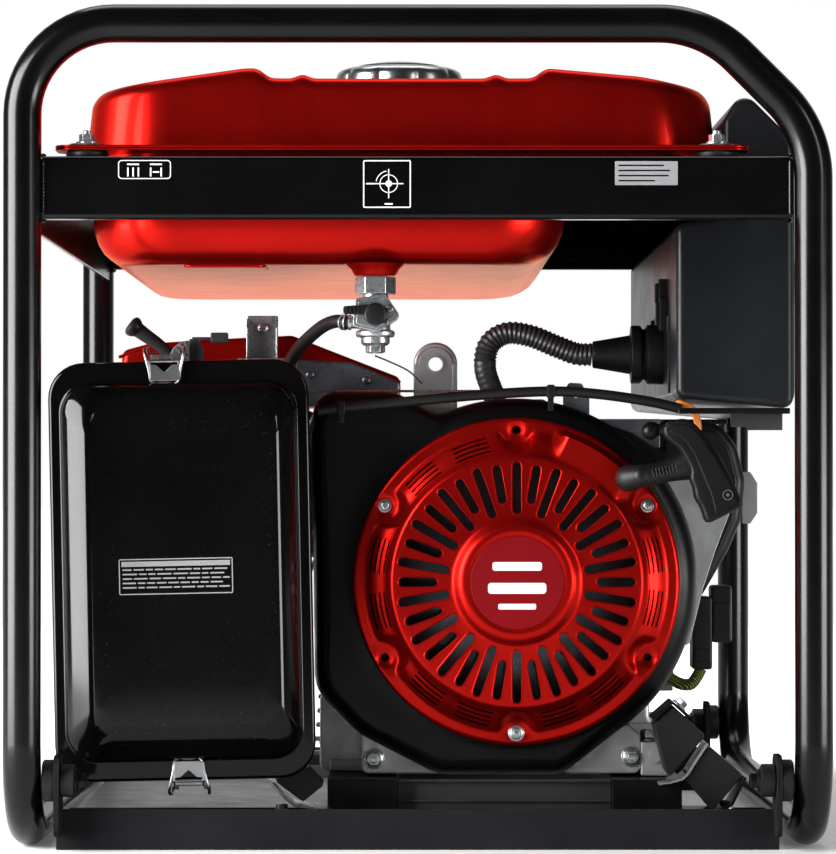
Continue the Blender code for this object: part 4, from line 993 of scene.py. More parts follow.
def air_filter():
    """Pressed case, cover with its rolled rim and raised panel, and the printed panel on it."""
    rings = [filter_ring(0.170 - 0.012 * (1 - math.sin(t)), 0.278 - 0.012 * (1 - math.sin(t)), 0.021,
                         -0.208 + 0.006 * math.cos(t)) for t in [math.radians(15 * k) for k in range(7)]]
    rings += [filter_ring(0.170, 0.278, 0.022, -0.2700), filter_ring(0.1735, 0.2815, 0.0235, -0.2716),
              filter_ring(0.1735, 0.2815, 0.0235, -0.2742), filter_ring(0.165, 0.273, 0.0195, -0.2742),
              filter_ring(0.165, 0.273, 0.0195, -0.2060)]
    case = Form().loft(rings)
    case.piece("filter_case", "filter_black", nodes=["air_filter_case"], matrix=FILTER_PLACE)
    cover = [filter_ring(0.166, 0.2735, 0.0190, -0.2748), filter_ring(0.1745, 0.2820, 0.0230, -0.2748),
             filter_ring(0.1762, 0.2837, 0.0238, -0.2756), filter_ring(0.1768, 0.2843, 0.0241, -0.2772),
             filter_ring(0.1762, 0.2837, 0.0238, -0.2790), filter_ring(0.1742, 0.2817, 0.0230, -0.2802),
             filter_ring(0.1715, 0.2790, 0.0222, -0.2806), filter_ring(0.1625, 0.2590, 0.0205, -0.2806),
             filter_ring(0.1600, 0.2562, 0.0200, -0.2812), filter_ring(0.1585, 0.2545, 0.0198, -0.2828)]
    wall = smooth_route([(0, 0, 0), (0.0008, 0, 0.0022), (0.0030, 0, 0.0048), (0.0080, 0, 0.0088), (0.0125, 0, 0.0122),
                         (0.0160, 0, 0.0145), (0.0190, 0, 0.0160), (0.0220, 0, 0.0168), (0.0250, 0, 0.0171)], 3)
    wall += [Vector((0.030, 0, 0.0173)), Vector((0.050, 0, 0.0176))]
    for step in wall:
        right_reach = step.x * 0.62
        ring = filter_ring(0.1580 - step.x - right_reach, 0.2540 - 2 * step.x, 0.0197 - step.x * 0.2, -0.2845 - step.z)
        cover.append([(x + (step.x - right_reach) / 2, y, z) for x, y, z in ring])
    lid = Form().loft(cover)
    lid.piece("filter_cover", "filter_black", nodes=["air_filter_cover"], matrix=FILTER_PLACE)
    face = -0.3025
    marks = Form()
    outer = rectangle((-0.041, 0.0357), (-0.0153, 0.0089), 0.0012)
    marks.plate(outer, "Y", face - 0.0003, face + 0.001, 0, holes=[inset(outer, 0.0008)])
    marks.plate(rectangle((-0.0392, 0.0339), (0.0036, 0.0071)), "Y", face - 0.00025, face + 0.001, 0)
    for k, length in enumerate((0.070, 0.068, 0.071, 0.066, 0.069)):
        z = 0.0010 - 0.0030 * k
        x = -0.0385
        while x < -0.0385 + length:
            word = random.uniform(0.004, 0.010)
            marks.block((x, min(x + word, 0.0335)), (face - 0.00025, face + 0.001), (z, z + 0.0011), 0)
            x += word + 0.0012
    marks.piece("filter_marks", "print_grey", matrix=FILTER_PLACE)
    Form().plate(inset(outer, 0.0008), "Y", face - 0.0001, face + 0.001, 0).piece(
        "filter_marks_ground", "filter_black", matrix=FILTER_PLACE)
    seam = [(a, -0.2744, b) for a, b in middle_rectangle(0.1690, 0.277, 0.0215, 8)]
    seal = Form().sweep(seam, 0.0014, 8, closed=True)
    seal.piece("filter_seal", "rubber", matrix=FILTER_PLACE)


def latches():
    """Over-centre clips: a sprung wire bail with a pressed finger plate."""
    for name, (x, out) in LATCHES.items():
        clip = Form()
        half = 0.0125
        for side in (-1, 1):
            wire = [
                (x + side * half, -0.254, out * 0.149), (x + side * half, -0.268, out * 0.1515),
                (x + side * (half + 0.001), -0.2795, out * 0.1505), (x + side * (half + 0.0005), -0.2850, out * 0.1460),
                (x + side * (half - 0.002), -0.2855, out * 0.1360), (x + side * (half - 0.003), -0.2838, out * 0.1290),
                (x + side * (half - 0.006), -0.2828, out * 0.1265),
            ]
            clip.sweep(smooth_route(wire, 5), 0.00105, 12)
            clip.rod((x + side * half, -0.254, out * 0.149),
                     (x + side * (half - 0.004), -0.254, out * 0.149), 0.00105, 12)
        clip.sweep(smooth_route([(x - 0.0065, -0.2828, out * 0.1265), (x, -0.2832, out * 0.1275),
                                 (x + 0.0065, -0.2828, out * 0.1265)], 5), 0.00105, 12)
        outline = [(x - 0.0095, 0.1285), (x + 0.0095, 0.1285), (x + 0.0100, 0.1400), (x + 0.0055, 0.1395),
                   (x, 0.1345), (x - 0.0055, 0.1395), (x - 0.0100, 0.1400)]
        outline = [(a, out * b) for a, b in rounded(outline, 0.0012, 4, closed=True)]
        clip.plate(outline, "Y", -0.2868, -0.2852, 0.0004)
        for side in (-1, 1):
            cheek = [(-0.2868, 0.1290), (-0.2815, 0.1290), (-0.2810, 0.1465), (-0.2860, 0.1420)]
            cheek = [(a, out * b) for a, b in cheek]
            at = x + side * 0.0098
            clip.plate(cheek, "X", at - 0.0006, at + 0.0006, 0.0003)
        clip.rod((x - 0.0115, -0.2845, out * 0.1420), (x + 0.0115, -0.2845, out * 0.1420), 0.0012, 12)
        clip.piece(f"{name}_clip", "chrome", f"latch_{name}", [f"{name}_latch"], matrix=FILTER_PLACE)
        hinge = Form().block((x - 0.011, x + 0.011), (-0.2575, -0.2505), sorted((out * 0.1385, out * 0.1475)), 0.0008)
        fastener(hinge, PHILLIPS, (x - 0.005, -0.2575, out * 0.1430), (0, -1, 0), 0.002)
        fastener(hinge, PHILLIPS, (x + 0.005, -0.2575, out * 0.1430), (0, -1, 0), 0.002)
        hinge.piece(f"{name}_clip_hinge", "zinc", matrix=FILTER_PLACE)


def choke():
    """The horn-shaped lever that sets the choke, flattened where it meets its pivot."""
    hub = Vector((-0.150, -0.168, 0.294))
    horn = [(-0.150, hub.y, 0.294), (-0.158, hub.y, 0.310), (-0.168, hub.y, 0.328), (-0.180, hub.y, 0.3405),
            (-0.192, hub.y, 0.3495), (-0.2005, hub.y, 0.3555)]
    path = smooth_route(horn, 6)
    radii = [0.0036 + 0.0020 * (k / (len(path) - 1)) ** 2 for k in range(len(path))]
    lever = Form().sweep(path, radii, 24, flat=0.8)
    tip, back = Vector((-0.2010, hub.y, 0.3558)), Vector((0.62, 0, -0.46)).normalized()
    lever.turned([(0, 0), (0.0050, 0.0004), (0.0070, 0.0018), (0.0074, 0.0038), (0.0066, 0.0060), (0.0048, 0.0085),
                  (0, 0.0090)], standing(tip - back * 0.003, back), 36)
    lever.turned([(0, 0.162), (0.0058, 0.162), (0.0062, 0.164), (0.0062, 0.173), (0.0050, 0.174), (0, 0.174)],
                 facing_front(hub.x, hub.z), 36)
    lever.piece("choke_horn", "black_plastic", "choke", ["choke_lever"])


def carburettor():
    """Carburettor body, mostly hidden by the filter."""
    form = Form().block((-0.141, -0.095), (-0.192, -0.1425), (0.238, 0.286), 0.003)
    form.turned([(0.0205, 0.190), (0.0210, 0.2008), (0.0150, 0.2017), (0.0145, 0.193), (0, 0.193)],
                facing_front(-0.118, 0.262), 48)
    bowl = [(0, 0.2115), (0.014, 0.2118), (0.0180, 0.2145), (0.0190, 0.2200), (0.0190, 0.2370), (0.0205, 0.2378),
            (0.0205, 0.2400), (0, 0.2400)]
    form.turned(bowl, Matrix.Translation((-0.118, -0.172, 0)), 48)
    fastener(form, HEX, (-0.118, -0.172, 0.2118), (0, 0, -1), 0.0065)
    form.block((-0.156, -0.140), (-0.162, -0.156), (0.277, 0.287), 0.001)
    form.sweep(smooth_route([(-0.1025, -0.178, 0.284), (-0.1025, -0.178, 0.2895)], 3), 0.0036, 16)
    for x, z in ((-0.136, 0.281), (-0.100, 0.281), (-0.136, 0.243), (-0.100, 0.243)):
        fastener(form, PHILLIPS, (x, -0.192, z), (0, -1, 0), 0.0028)
    form.piece("carburettor_body", "aluminium", nodes=["carburettor"])


# Engine


def cover_height(radius, angle):
    """How far the recoil cover's surface stands forward of Y 0, at a radius and an angle in degrees."""
    profile = [(0.0, 0.2568), (0.0325, 0.2568), (0.0345, 0.2575), (0.0375, 0.2573), (0.0405, 0.2556), (0.0430, 0.2530),
               (0.0455, 0.2519), (0.0840, 0.2496), (0.0860, 0.2492), (0.0885, 0.2468), (0.0900, 0.2450),
               (0.0980, 0.2405), (0.1025, 0.2368), (0.1045, 0.2352), (0.1110, 0.2345), (0.1130, 0.2325)]
    height = profile[-1][1]
    for (r0, h0), (r1, h1) in zip(profile, profile[1:]):
        if r0 <= radius <= r1:
            height = h0 + (h1 - h0) * (radius - r0) / (r1 - r0)
            break
    housing = ease((angle - 36) / 6) * ease((76 - angle) / 6) * ease((radius - 0.0855) / 0.003)
    housing *= ease((0.1085 - radius) / 0.003)
    height += (max(height, 0.2475) - height) * housing
    for k in range(6):
        lug = math.radians(30 + 60 * k)
        turn = math.radians(angle)
        away = math.hypot(radius * math.cos(turn) - 0.1045 * math.cos(lug),
                          radius * math.sin(turn) - 0.1045 * math.sin(lug))
        pad = ease((0.0150 - away) / 0.0050)
        height += (0.2345 - height) * pad if height > 0.2345 else 0
        height -= 0.0016 * ease((0.0066 - away) / 0.0022)
    return height


def ease(t):
    t = min(max(t, 0.0), 1.0)
    return t * t * (3 - 2 * t)


def slot_outline(start, end, width, steps=8):
    """A round-ended slot along X."""
    half = width / 2
    return arc((end - half, 0), half, -90, 90, steps) + arc((start + half, 0), half, 90, 270, steps)


SLOTS = [(90 + 10 * k, 0.0465 if k % 2 == 0 else 0.0545, 0.083 if k % 2 == 0 else 0.0815) for k in range(36)]
LOUVRES = [(centre, 0.0915 + 0.0031 * row) for centre in (11, -11, 109, 132, 169, 192, 230, 252, 288, 310)
           for row in range(4)]


def recoil_cover():
    """The dished fan cover: slotted face, louvred shoulder, six fixing lugs and a plain badge."""
    radii = [0.004, 0.020, 0.032, 0.0335, 0.035, 0.037, 0.039, 0.041, 0.043, 0.0445, 0.046, 0.052, 0.060, 0.068, 0.076,
             0.082, 0.0845, 0.086, 0.0875, 0.089, 0.0905, 0.093, 0.0955, 0.098, 0.1005, 0.1025, 0.104, 0.1055, 0.1075,
             0.1095, 0.111, 0.1122, COVER_R]
    turns = 360
    wall = 0.0022
    back = -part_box("recoil_cover")[1].y
    front_rings, back_rings = [], []
    for radius in radii:
        front, rear = [], []
        for k in range(turns):
            angle = 360 * k / turns
            a = math.radians(angle)
            height = cover_height(radius, angle)
            front.append((radius * math.cos(a), radius * math.sin(a), height))
            inner = min(radius, COVER_R - wall)
            rear.append((inner * math.cos(a), inner * math.sin(a), height - wall))
        front_rings.append(front)
        back_rings.append(rear)
    rim = [[(r * math.cos(2 * math.pi * k / turns), r * math.sin(2 * math.pi * k / turns), back) for k in range(turns)]
           for r in (COVER_R, COVER_R - wall)]
    place = facing_front(CRANK_X, CRANK_Z)
    rings = front_rings + rim + back_rings[::-1][1:]
    cover = Form().loft(rings)
    cutter = Form()
    for angle, start, end in SLOTS:
        spin = spin_z(angle)
        cutter.plate(slot_outline(start, end, 0.0064), "Z", 0.240, 0.262, 0, matrix=spin)
    for angle, radius in LOUVRES:
        span = math.degrees(0.0125 / radius)
        outline = arc((0, 0), radius + 0.0005, angle - span, angle + span, 10)
        outline += arc((0, 0), radius - 0.0005, angle + span, angle - span, 10)
        cutter.plate(outline, "Z", 0.225, 0.262, 0)
    for k in (1, 3, 5):
        lug = math.radians(30 + 60 * k)
        hole = (0.1045 * math.cos(lug), 0.1045 * math.sin(lug))
        cutter.plate(circle(hole, 0.0028, 24), "Z", 0.220, 0.262, 0)
    mesh = carved(cover, cutter, "recoil_cover_shell")
    mesh.transform(place)
    piece_of("recoil_cover_shell", mesh, "red_paint", nodes=["recoil_cover"], sharp=math.radians(50))
    rims = Form()
    for angle, start, end in SLOTS:
        a = math.radians(angle)
        loop = []
        for x, y in slot_outline(start - 0.0003, end + 0.0003, 0.0070, 6):
            radius = math.hypot(x, y)
            loop.append((x * math.cos(a) - y * math.sin(a), x * math.sin(a) + y * math.cos(a),
                         cover_height(radius, angle) - 0.0001))
        rims.sweep(loop, 0.00062, 8, closed=True)
    rims.piece("recoil_slot_rims", "red_paint", matrix=place)
    # A flat black ring behind the louvres: painted shade, so the louvres read dark.
    ring = [(0.086, 0.2185), (0.086, 0.2195), (0.1030, 0.2195), (0.1030, 0.2185)]
    Form().turned(ring, place, 96, ring=True).piece("louvre_painted_shade_ring", "print_and_painted_shade")
    badge = Form().turned([(0.0318, 0.2560), (0.0318, 0.2572), (0.0312, 0.2575), (0, 0.2577)], place, 96)
    badge.piece("recoil_badge", "red_badge")
    marks = Form()
    for width, z, tall in ((0.034, 0.011, 0.006), (0.040, -0.004, 0.0075), (0.026, -0.0165, 0.004)):
        marks.plate(middle_rectangle(width, tall, tall * 0.3), "Z", 0.2574, 0.2579, 0,
                    matrix=place @ Matrix.Translation((0, z, 0)))
    marks.piece("badge_marks", "print_white")
    screws = Form()
    for k in (0, 2, 4):
        lug = math.radians(30 + 60 * k)
        at = place @ Vector((0.1045 * math.cos(lug), 0.1045 * math.sin(lug), 0.2330))
        wide = 0.0056 if k == 4 else 0.0046
        washer = [(wide, 0), (wide, 0.0009), (wide - 0.0005, 0.0012), (0, 0.0012)]
        screws.turned(washer, standing(at, (0, -1, 0)), 36)
        fastener(screws, HEX if k == 4 else PHILLIPS, at + Vector((0, -0.0011, 0)), (0, -1, 0), wide * 0.8)
    screws.piece("recoil_screws", "zinc")


def rope_outlet():
    """The rubber collar that the starter rope comes out of, and the rope from there to the handle."""
    inner, outer = Vector((0.1425, -0.2575, 0.2480)), Vector((0.1520, -0.2665, 0.2500))
    direction = outer - inner
    length = direction.length
    collar = [(0.0040, -0.003), (0.0078, -0.003), (0.0090, 0), (0.0094, 0.003), (0.0088, 0.007), (0.0080, 0.010),
              (0.0078, length - 0.0005), (0.0074, length), (0.0040, length)]
    Form().turned(collar, standing(inner, direction), 40).piece("rope_collar", "rubber")
    start, end = Vector((0.1415, -0.2560, 0.2478)), Vector((0.186, -0.266, 0.2580))
    rope = Form().sweep([start.lerp(end, k / 60) for k in range(61)], 0.0021, 12)
    thing = bpy.data.objects.new("starter_rope", rope.mesh("starter_rope"))
    bpy.context.scene.collection.objects.link(thing)
    thing.data.materials.append(LOOKS["rope"])
    thing.data.shade_smooth()
    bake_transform(thing)


def starter_handle():
    """The T-shaped grip: a smooth outer edge with a raised strip, a finger-waved inner edge and a ribbed stem."""
    outer_edge = [(0.1665, 0.2825), (0.1705, 0.2865), (0.1794, 0.2889), (0.1869, 0.2862), (0.1958, 0.2766),
                  (0.2046, 0.2637), (0.2128, 0.2487), (0.2200, 0.2330)]
    inner_edge = [(0.1950, 0.2205), (0.1922, 0.2290), (0.1886, 0.2350), (0.1872, 0.2420), (0.1850, 0.2480),
                  (0.1850, 0.2540), (0.1818, 0.2610), (0.1775, 0.2680), (0.1715, 0.2730), (0.1672, 0.2775)]
    tip = [(0.2205, 0.2300), (0.2160, 0.2272), (0.1990, 0.2186), (0.1965, 0.2186)]
    path = smooth_route([(x, 0, z) for x, z in outer_edge], 4) + [Vector((x, 0, z)) for x, z in tip]
    path += smooth_route([(x, 0, z) for x, z in inner_edge], 4)
    outline = [(point.x, point.z) for point in path][::-1]
    grip = Form().pillow(outline, "Y", -0.2590, -0.2815, 0.0028, 6, back_radius=0.003)
    strip_in = [(0.1700, 0.2795), (0.1790, 0.2755), (0.1870, 0.2650), (0.1935, 0.2500), (0.1985, 0.2380),
                (0.2020, 0.2240)]
    strip_out = [(0.2085, 0.2272), (0.2165, 0.2320), (0.2105, 0.2470), (0.2022, 0.2620), (0.1935, 0.2745),
                 (0.1855, 0.2832), (0.1795, 0.2855), (0.1725, 0.2835)]
    strip = smooth_route([(x, 0, z) for x, z in strip_in], 4) + [Vector((x, 0, z)) for x, z in strip_out]
    grip.pillow([(point.x, point.z) for point in strip], "Y", -0.2790, -0.2832, 0.0010, 4)
    stem = [(0.1870, -0.2665, 0.2580), (0.1760, -0.2665, 0.2550), (0.1640, -0.2665, 0.2520), (0.1524, -0.2665, 0.2500)]
    points = smooth_route(stem, 8)
    radii = [0.0100 - 0.0026 * ease(k / 14) + 0.0006 * ease((k - 18) / 6) for k in range(len(points))]
    grip.sweep(points, radii, 28, flat=0.9)
    along = (points[-1] - points[0]).normalized()
    round_end = [(round(0.0079 * math.sin(a), 6), -0.0079 * math.cos(a)) for a in [math.pi * k / 12 for k in range(13)]]
    grip.turned(round_end, standing(points[-1], along), 28)
    across = along.cross(UP_Y)
    for k in range(9):
        at = points[0].lerp(points[-1], 0.26 + 0.065 * k) + Vector((0, -0.0070, 0))
        grip.rod(at - across * 0.0030, at + across * 0.0030, 0.0006, 8, bevel=0)
    neck = [(0.1720, -0.268, 0.2800), (0.1680, -0.268, 0.2812), (0.1640, -0.268, 0.2816), (0.1605, -0.268, 0.2812)]
    neck_radii = [0.0045] * 5 + [0.0040] * 8
    grip.sweep(smooth_route(neck, 4), neck_radii, 20)
    grip.piece("pull_grip", "black_plastic", "handle", ["starter_handle"])
    ball = Form().turned([(0, -0.0065), (0.0030, -0.0058), (0.0052, -0.0038), (0.0062, -0.001), (0.0062, 0.0015),
                          (0.0050, 0.0042), (0.0028, 0.0060), (0, 0.0066)],
                         standing((0.1590, -0.268, 0.2808), (-1, 0, -0.25)), 32)
    ball.piece("pull_grip_ball", "satin_black", "handle")
    ring = (0.2100, 0.2372)
    mark = Form().plate(circle(ring, 0.0036, 36), "Y", -0.2836, -0.2828, 0, holes=[circle(ring, 0.0029, 36)])
    mark.plate(circle(ring, 0.0012, 20), "Y", -0.2835, -0.2828, 0)
    mark.piece("pull_grip_mark", "grey_plastic", "handle")


def shroud_reach(angle):
    """The distance from the crankshaft's axis to the shroud's edge, at an angle in degrees."""
    left, top, low = -0.0735, 0.309, 0.0425
    corners = [(0.0134, low), (0.1010, low), *arc((CRANK_X, CRANK_Z), 0.127, -56, 114, 34), (0.0060, 0.2950),
               (-0.0040, 0.3030), (-0.0110, 0.3082), (-0.0220, top), (-0.060, top), (-0.070, 0.305),
               (left, 0.296), (-0.0715, 0.106), (-0.068, 0.098), (-0.040, 0.070)]
    ray = Vector((math.cos(math.radians(angle)), math.sin(math.radians(angle))))
    best = 0.0
    for a, b in zip(corners, corners[1:] + corners[:1]):
        a, b = Vector(a) - Vector((CRANK_X, CRANK_Z)), Vector(b) - Vector((CRANK_X, CRANK_Z))
        edge = b - a
        cross = ray.x * edge.y - ray.y * edge.x
        if abs(cross) < 1e-9:
            continue
        distance = (a.x * edge.y - a.y * edge.x) / cross
        along_edge = (a.x * ray.y - a.y * ray.x) / cross
        if distance > 0 and -1e-6 <= along_edge <= 1 + 1e-6:
            best = max(best, distance)
    return best


def fan_shroud():
    """The blower housing behind the recoil cover: rounded at its front, open in the middle."""
    low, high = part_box("fan_shroud")
    front, back = -low.y, -high.y
    turns = 288
    reaches = [shroud_reach(360 * k / turns) for k in range(turns)]
    reaches = [sum(reaches[(k + j) % turns] for j in (-2, -1, 0, 1, 2)) / 5 for k in range(turns)]

    def ring(scale, height):
        return [(scale(r) * math.cos(2 * math.pi * k / turns), scale(r) * math.sin(2 * math.pi * k / turns), height)
                for k, r in enumerate(reaches)]

    rounding, lip = 0.0125, 0.1145
    rings = [ring(lambda r: r, back), ring(lambda r: r, back + 0.004)]
    for k in range(9):
        turn = math.radians(11.25 * k)
        reach, height = rounding * (1 - math.cos(turn)), front - 0.004 - rounding * (1 - math.sin(turn)) * 1.6
        rings.append(ring(lambda r, reach=reach: max(r - reach, lip + 0.0015), height))
    rings.append(ring(lambda r: lip + (max(r - rounding, lip + 0.002) - lip) * 0.4, front - 0.0038))
    rings.append(ring(lambda r: lip, front - 0.0030))
    rings.append(ring(lambda r: lip - 0.004, front - 0.0012))
    rings.append(ring(lambda r: 0.104, front - 0.0012))
    rings.append(ring(lambda r: 0.103, front - 0.012))
    shell = Form().loft(rings, caps=(False, False), matrix=facing_front(CRANK_X, CRANK_Z))
    thing = shell.piece("blower_housing", "satin_black", nodes=["fan_shroud"], sharp=math.radians(60))
    thicken = thing.modifiers.new("sheet", "SOLIDIFY")
    thicken.thickness = 0.0016
    thicken.offset = -1


def fan():
    """Flywheel with its ring of curved fan blades, seen through the cover's slots."""
    low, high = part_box("flywheel_fan")
    place = facing_front(CRANK_X, CRANK_Z)
    profile = [(0.0158, 0.2155), (0.030, 0.2155), (0.036, 0.206), (0.090, 0.200), (0.095, 0.197), (0.095, 0.172),
               (0.036, 0.176), (0.030, 0.166), (0.0158, 0.166)]
    wheel = Form().turned(profile, place, 96, ring=True, bevel=0.0008)
    wheel.piece("flywheel", "steel", "crank", ["flywheel_fan"])
    blades = Form()
    for k in range(18):
        spin = place @ Matrix.Rotation(2 * math.pi * k / 18, 4, "Z")
        outline = []
        for side in (1, -1):
            edge = [(0.046 + 0.0061 * j, 0.004 * math.sin(j / 8 * math.pi) + 0.0009 * side) for j in range(9)]
            outline += edge if side > 0 else edge[::-1]
        blades.plate(outline, "Z", 0.200, 0.2160, 0.0003, matrix=spin)
    hub = [(0.046, 0.1985), (0.046, 0.2065), (0.030, 0.2150), (0.028, 0.2150), (0.028, 0.1985)]
    blades.turned(hub, place, 72, ring=True)
    blades.piece("fan_blades", "black_plastic", "crank")
    nut = Form().plate(hexagon(0.013), "Z", 0.2150, 0.2205, 0.001, matrix=place)
    nut.turned([(0.008, 0.215), (0.008, 0.2218), (0.007, 0.2222), (0, 0.2222)], place, 32)
    nut.piece("flywheel_nut", "zinc", "crank")


def recoil_reel():
    """Reel behind the cover, with two turns of rope that turn with it."""
    place = facing_front(CRANK_X, CRANK_Z)
    profile = [(0, 0.2395), (0.040, 0.2395), (0.042, 0.2388), (0.0415, 0.2376), (0.035, 0.2365), (0.035, 0.2285),
               (0.0415, 0.2275), (0.042, 0.2262), (0.041, 0.2255), (0, 0.2255)]
    reel = Form().turned(profile, place, 72)
    for k in range(6):
        spin = place @ spin_z(60 * k)
        reel.block((0.014, 0.034), (-0.0012, 0.0012), (0.2390, 0.2412), 0.0004, spin)
    reel.piece("rope_reel", "black_plastic", "reel", ["recoil_reel"])
    rope = Form()
    for height in (0.2305, 0.2345):
        loop = [place @ Vector((0.0368 * math.cos(a), 0.0368 * math.sin(a), height))
                for a in [2 * math.pi * k / 72 for k in range(72)]]
        rope.sweep(loop, 0.0021, 10, closed=True)
    rope.piece("wound_rope", "rope", "reel")


def engine_cowl():
    """The red sheet cover over the cylinder, with a rolled lip."""
    low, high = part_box("engine_cowl")
    outline = rounded(
        [(-0.210, 0.300), (-0.012, 0.300), (-0.012, 0.320), (-0.061, 0.339), (-0.089, 0.350), (-0.131, 0.348),
         (-0.190, 0.3445), (-0.210, 0.339)],
        [0, 0, 0.006, 0.012, 0.008, 0.02, 0.01, 0.006], 5, closed=True,
    )
    cowl = Form().pillow(outline, "Y", high.y, low.y, 0.005, 6)
    cowl.piece("cylinder_cowl", "red_paint", nodes=["engine_cowl"])
    lip = [(-0.212, 0.3385), (-0.190, 0.3450), (-0.131, 0.3485), (-0.089, 0.3505), (-0.061, 0.3395), (-0.012, 0.3205)]
    strip = Form()
    route = smooth_route([(x, low.y + 0.001, z - 0.004) for x, z in lip], 5)
    strip.sweep(route, 0.0012, 10)
    strip.piece("cowl_lip", "red_paint")
    sheet = [(-0.086, 0.300), (-0.013, 0.300), (-0.013, 0.316), (-0.046, 0.3300), (-0.086, 0.3320)]
    sheet = rounded(sheet, 0.003, 4, True)
    face = Form().plate(sheet, "Y", low.y - 0.0022, low.y - 0.0004, 0.0005)
    face.sweep([(x, low.y - 0.0024, z) for x, z in sheet[6:]], 0.0008, 8)
    for x, z in ((-0.076, 0.322), (-0.036, 0.318)):
        fastener(face, PHILLIPS, (x, low.y - 0.0020, z), (0, -1, 0), 0.0032)
    face.piece("cowl_side_sheet", "steel")


def top_fittings():
    """Small brackets, rods and connectors between the engine's top and the tank."""
    bright = Form().block((-0.1205, -0.0985), (-0.1600, -0.1585), (0.3330, 0.3635), 0.0010)
    for x in (-0.1205, -0.0997):
        cheek = [(-0.1720, 0.3330), (-0.1585, 0.3330), (-0.1585, 0.3625), (-0.1700, 0.3550)]
        bright.plate(cheek, "X", x, x + 0.0012, 0.0003)
    bright.block((-0.1270, -0.0920), (-0.1730, -0.1585), (0.3318, 0.3332), 0.0004)
    fastener(bright, PHILLIPS, (-0.1095, -0.1600, 0.3545), (0, -1, 0), 0.0042)
    bright.piece("cowl_bracket", "zinc")
    quarter = [(-0.1715, 0.3270), (-0.1580, 0.3270), (-0.1580, 0.3440), *arc((-0.1580, 0.3300), 0.0138, 92, 175, 10)]
    stop = Form().plate(quarter, "Y", -0.2250, -0.2225, 0.0004)
    for k in range(5):
        turn = Matrix.Translation((-0.1580, 0, 0.3300)) @ Matrix.Rotation(math.radians(-12 - 17 * k), 4, "Y")
        stop.block((-0.0006, 0.0006), (-0.2262, -0.2245), (0.0045, 0.0132), 0.0002, turn)
    stop.piece("choke_stop_plate", "zinc")
    strip = Form().block((-0.1560, -0.1310), (-0.2245, -0.2225), (0.3440, 0.3462), 0.0004)
    strip.block((-0.1430, -0.1310), (-0.2290, -0.2210), (0.3420, 0.3492), 0.0010)
    strip.plate([(-0.1580, 0.3265), (-0.1480, 0.3265), (-0.1480, 0.3380), (-0.1520, 0.3450), (-0.1580, 0.3450)],
                "Y", -0.2205, -0.2190, 0.0004)
    strip.piece("choke_strip", "grey_paint")
    rods = Form().rod((-0.0760, -0.1780, 0.3098), (0.0440, -0.1780, 0.3098), 0.0009, 12)
    wire = [(-0.0300, -0.2600, 0.3325), (-0.0200, -0.2400, 0.3290), (-0.0060, -0.2100, 0.3230),
            (0.0030, -0.1900, 0.3150)]
    rods.sweep(smooth_route(wire, 6), 0.0006, 8)
    rods.piece("throttle_rods", "zinc")
    plate = [(0.1020, 0.2820), (0.1205, 0.2820), (0.1205, 0.3050), (0.1150, 0.3150), (0.1060, 0.3154), (0.1020, 0.3080)]
    bracket = Form().plate(rounded(plate, 0.0022, 4, True), "Y", -0.1900, -0.1880, 0.0004,
                           holes=[circle((0.1112, 0.3075), 0.0026, 20)])
    bracket.block((0.1240, 0.1700), (-0.1900, -0.1880), (0.2700, 0.2900), 0.0006)
    bracket.block((0.0620, 0.0910), (-0.1820, -0.1500), (0.2850, 0.3040), 0.0030)
    bracket.piece("harness_bracket", "steel")
    sloping = [(0.1020, 0.2600), (0.1720, 0.2500), (0.1760, 0.2640), (0.1500, 0.2800), (0.1130, 0.2930),
               (0.1020, 0.2930)]
    Form().plate(rounded(sloping, 0.004, 4, True), "Y", -0.1960, -0.1930, 0.0008).piece("guide_sheet", "satin_black")


def box_connectors():
    """Two plugs and a strap on the control box's inner face."""
    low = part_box("control_box")[0]
    plugs = Form()
    for y, z, tall in ((-0.168, 0.3790, 0.0100), (-0.176, 0.3640, 0.0120), (-0.120, 0.3560, 0.0080)):
        plugs.block((low.x - 0.0060, low.x + 0.002), (y - 0.0060, y + 0.0060), (z - tall, z + tall), 0.0012)
        plugs.block((low.x - 0.0085, low.x - 0.005), (y - 0.0042, y + 0.0042), (z - tall * 0.7, z + tall * 0.7), 0.0008)
    plugs.block((low.x - 0.0015, low.x + 0.002), (-0.205, -0.110), (0.3080, 0.3620), 0.0008)
    plugs.piece("box_connectors", "black_plastic")


def lifting_lug():
    """Plate with an eye on top of the engine."""
    low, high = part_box("lifting_lug")
    x, z, half = (low.x + high.x) / 2, high.z - 0.0122, 0.0122
    outline = [(x - half, low.z), (x + half, low.z), *arc((x, z), half, 0, 180, 24)]
    lug = Form().plate(outline, "Y", low.y, low.y + 0.006, 0.0009, holes=[circle((x, z), 0.0050, 36)])
    lug.piece("lifting_eye_plate", "aluminium", nodes=["lifting_lug"])
    frame_ring = [(x - half - 0.0012, low.z), *arc((x, z), half + 0.0012, 180, 0, 24), (x + half + 0.0012, low.z)]
    rim = Form().sweep([(a, low.y + 0.004, b) for a, b in frame_ring], 0.0022, 12)
    for side in (-1, 1):
        rim.block((x + side * 0.0135 - 0.0018, x + side * 0.0135 + 0.0018), (low.y, low.y + 0.02), (low.z, z), 0.0006)
    rim.block((x - 0.014, x + 0.014), (low.y, low.y + 0.024), (low.z, low.z + 0.003), 0.0006)
    washer = [(0.0070, 0), (0.0070, 0.0010), (0.0054, 0.0012), (0.0054, 0)]
    rim.turned(washer, standing((x, low.y, z), (0, -1, 0)), 40, ring=True)
    rim.piece("lifting_eye_rim", "aluminium")


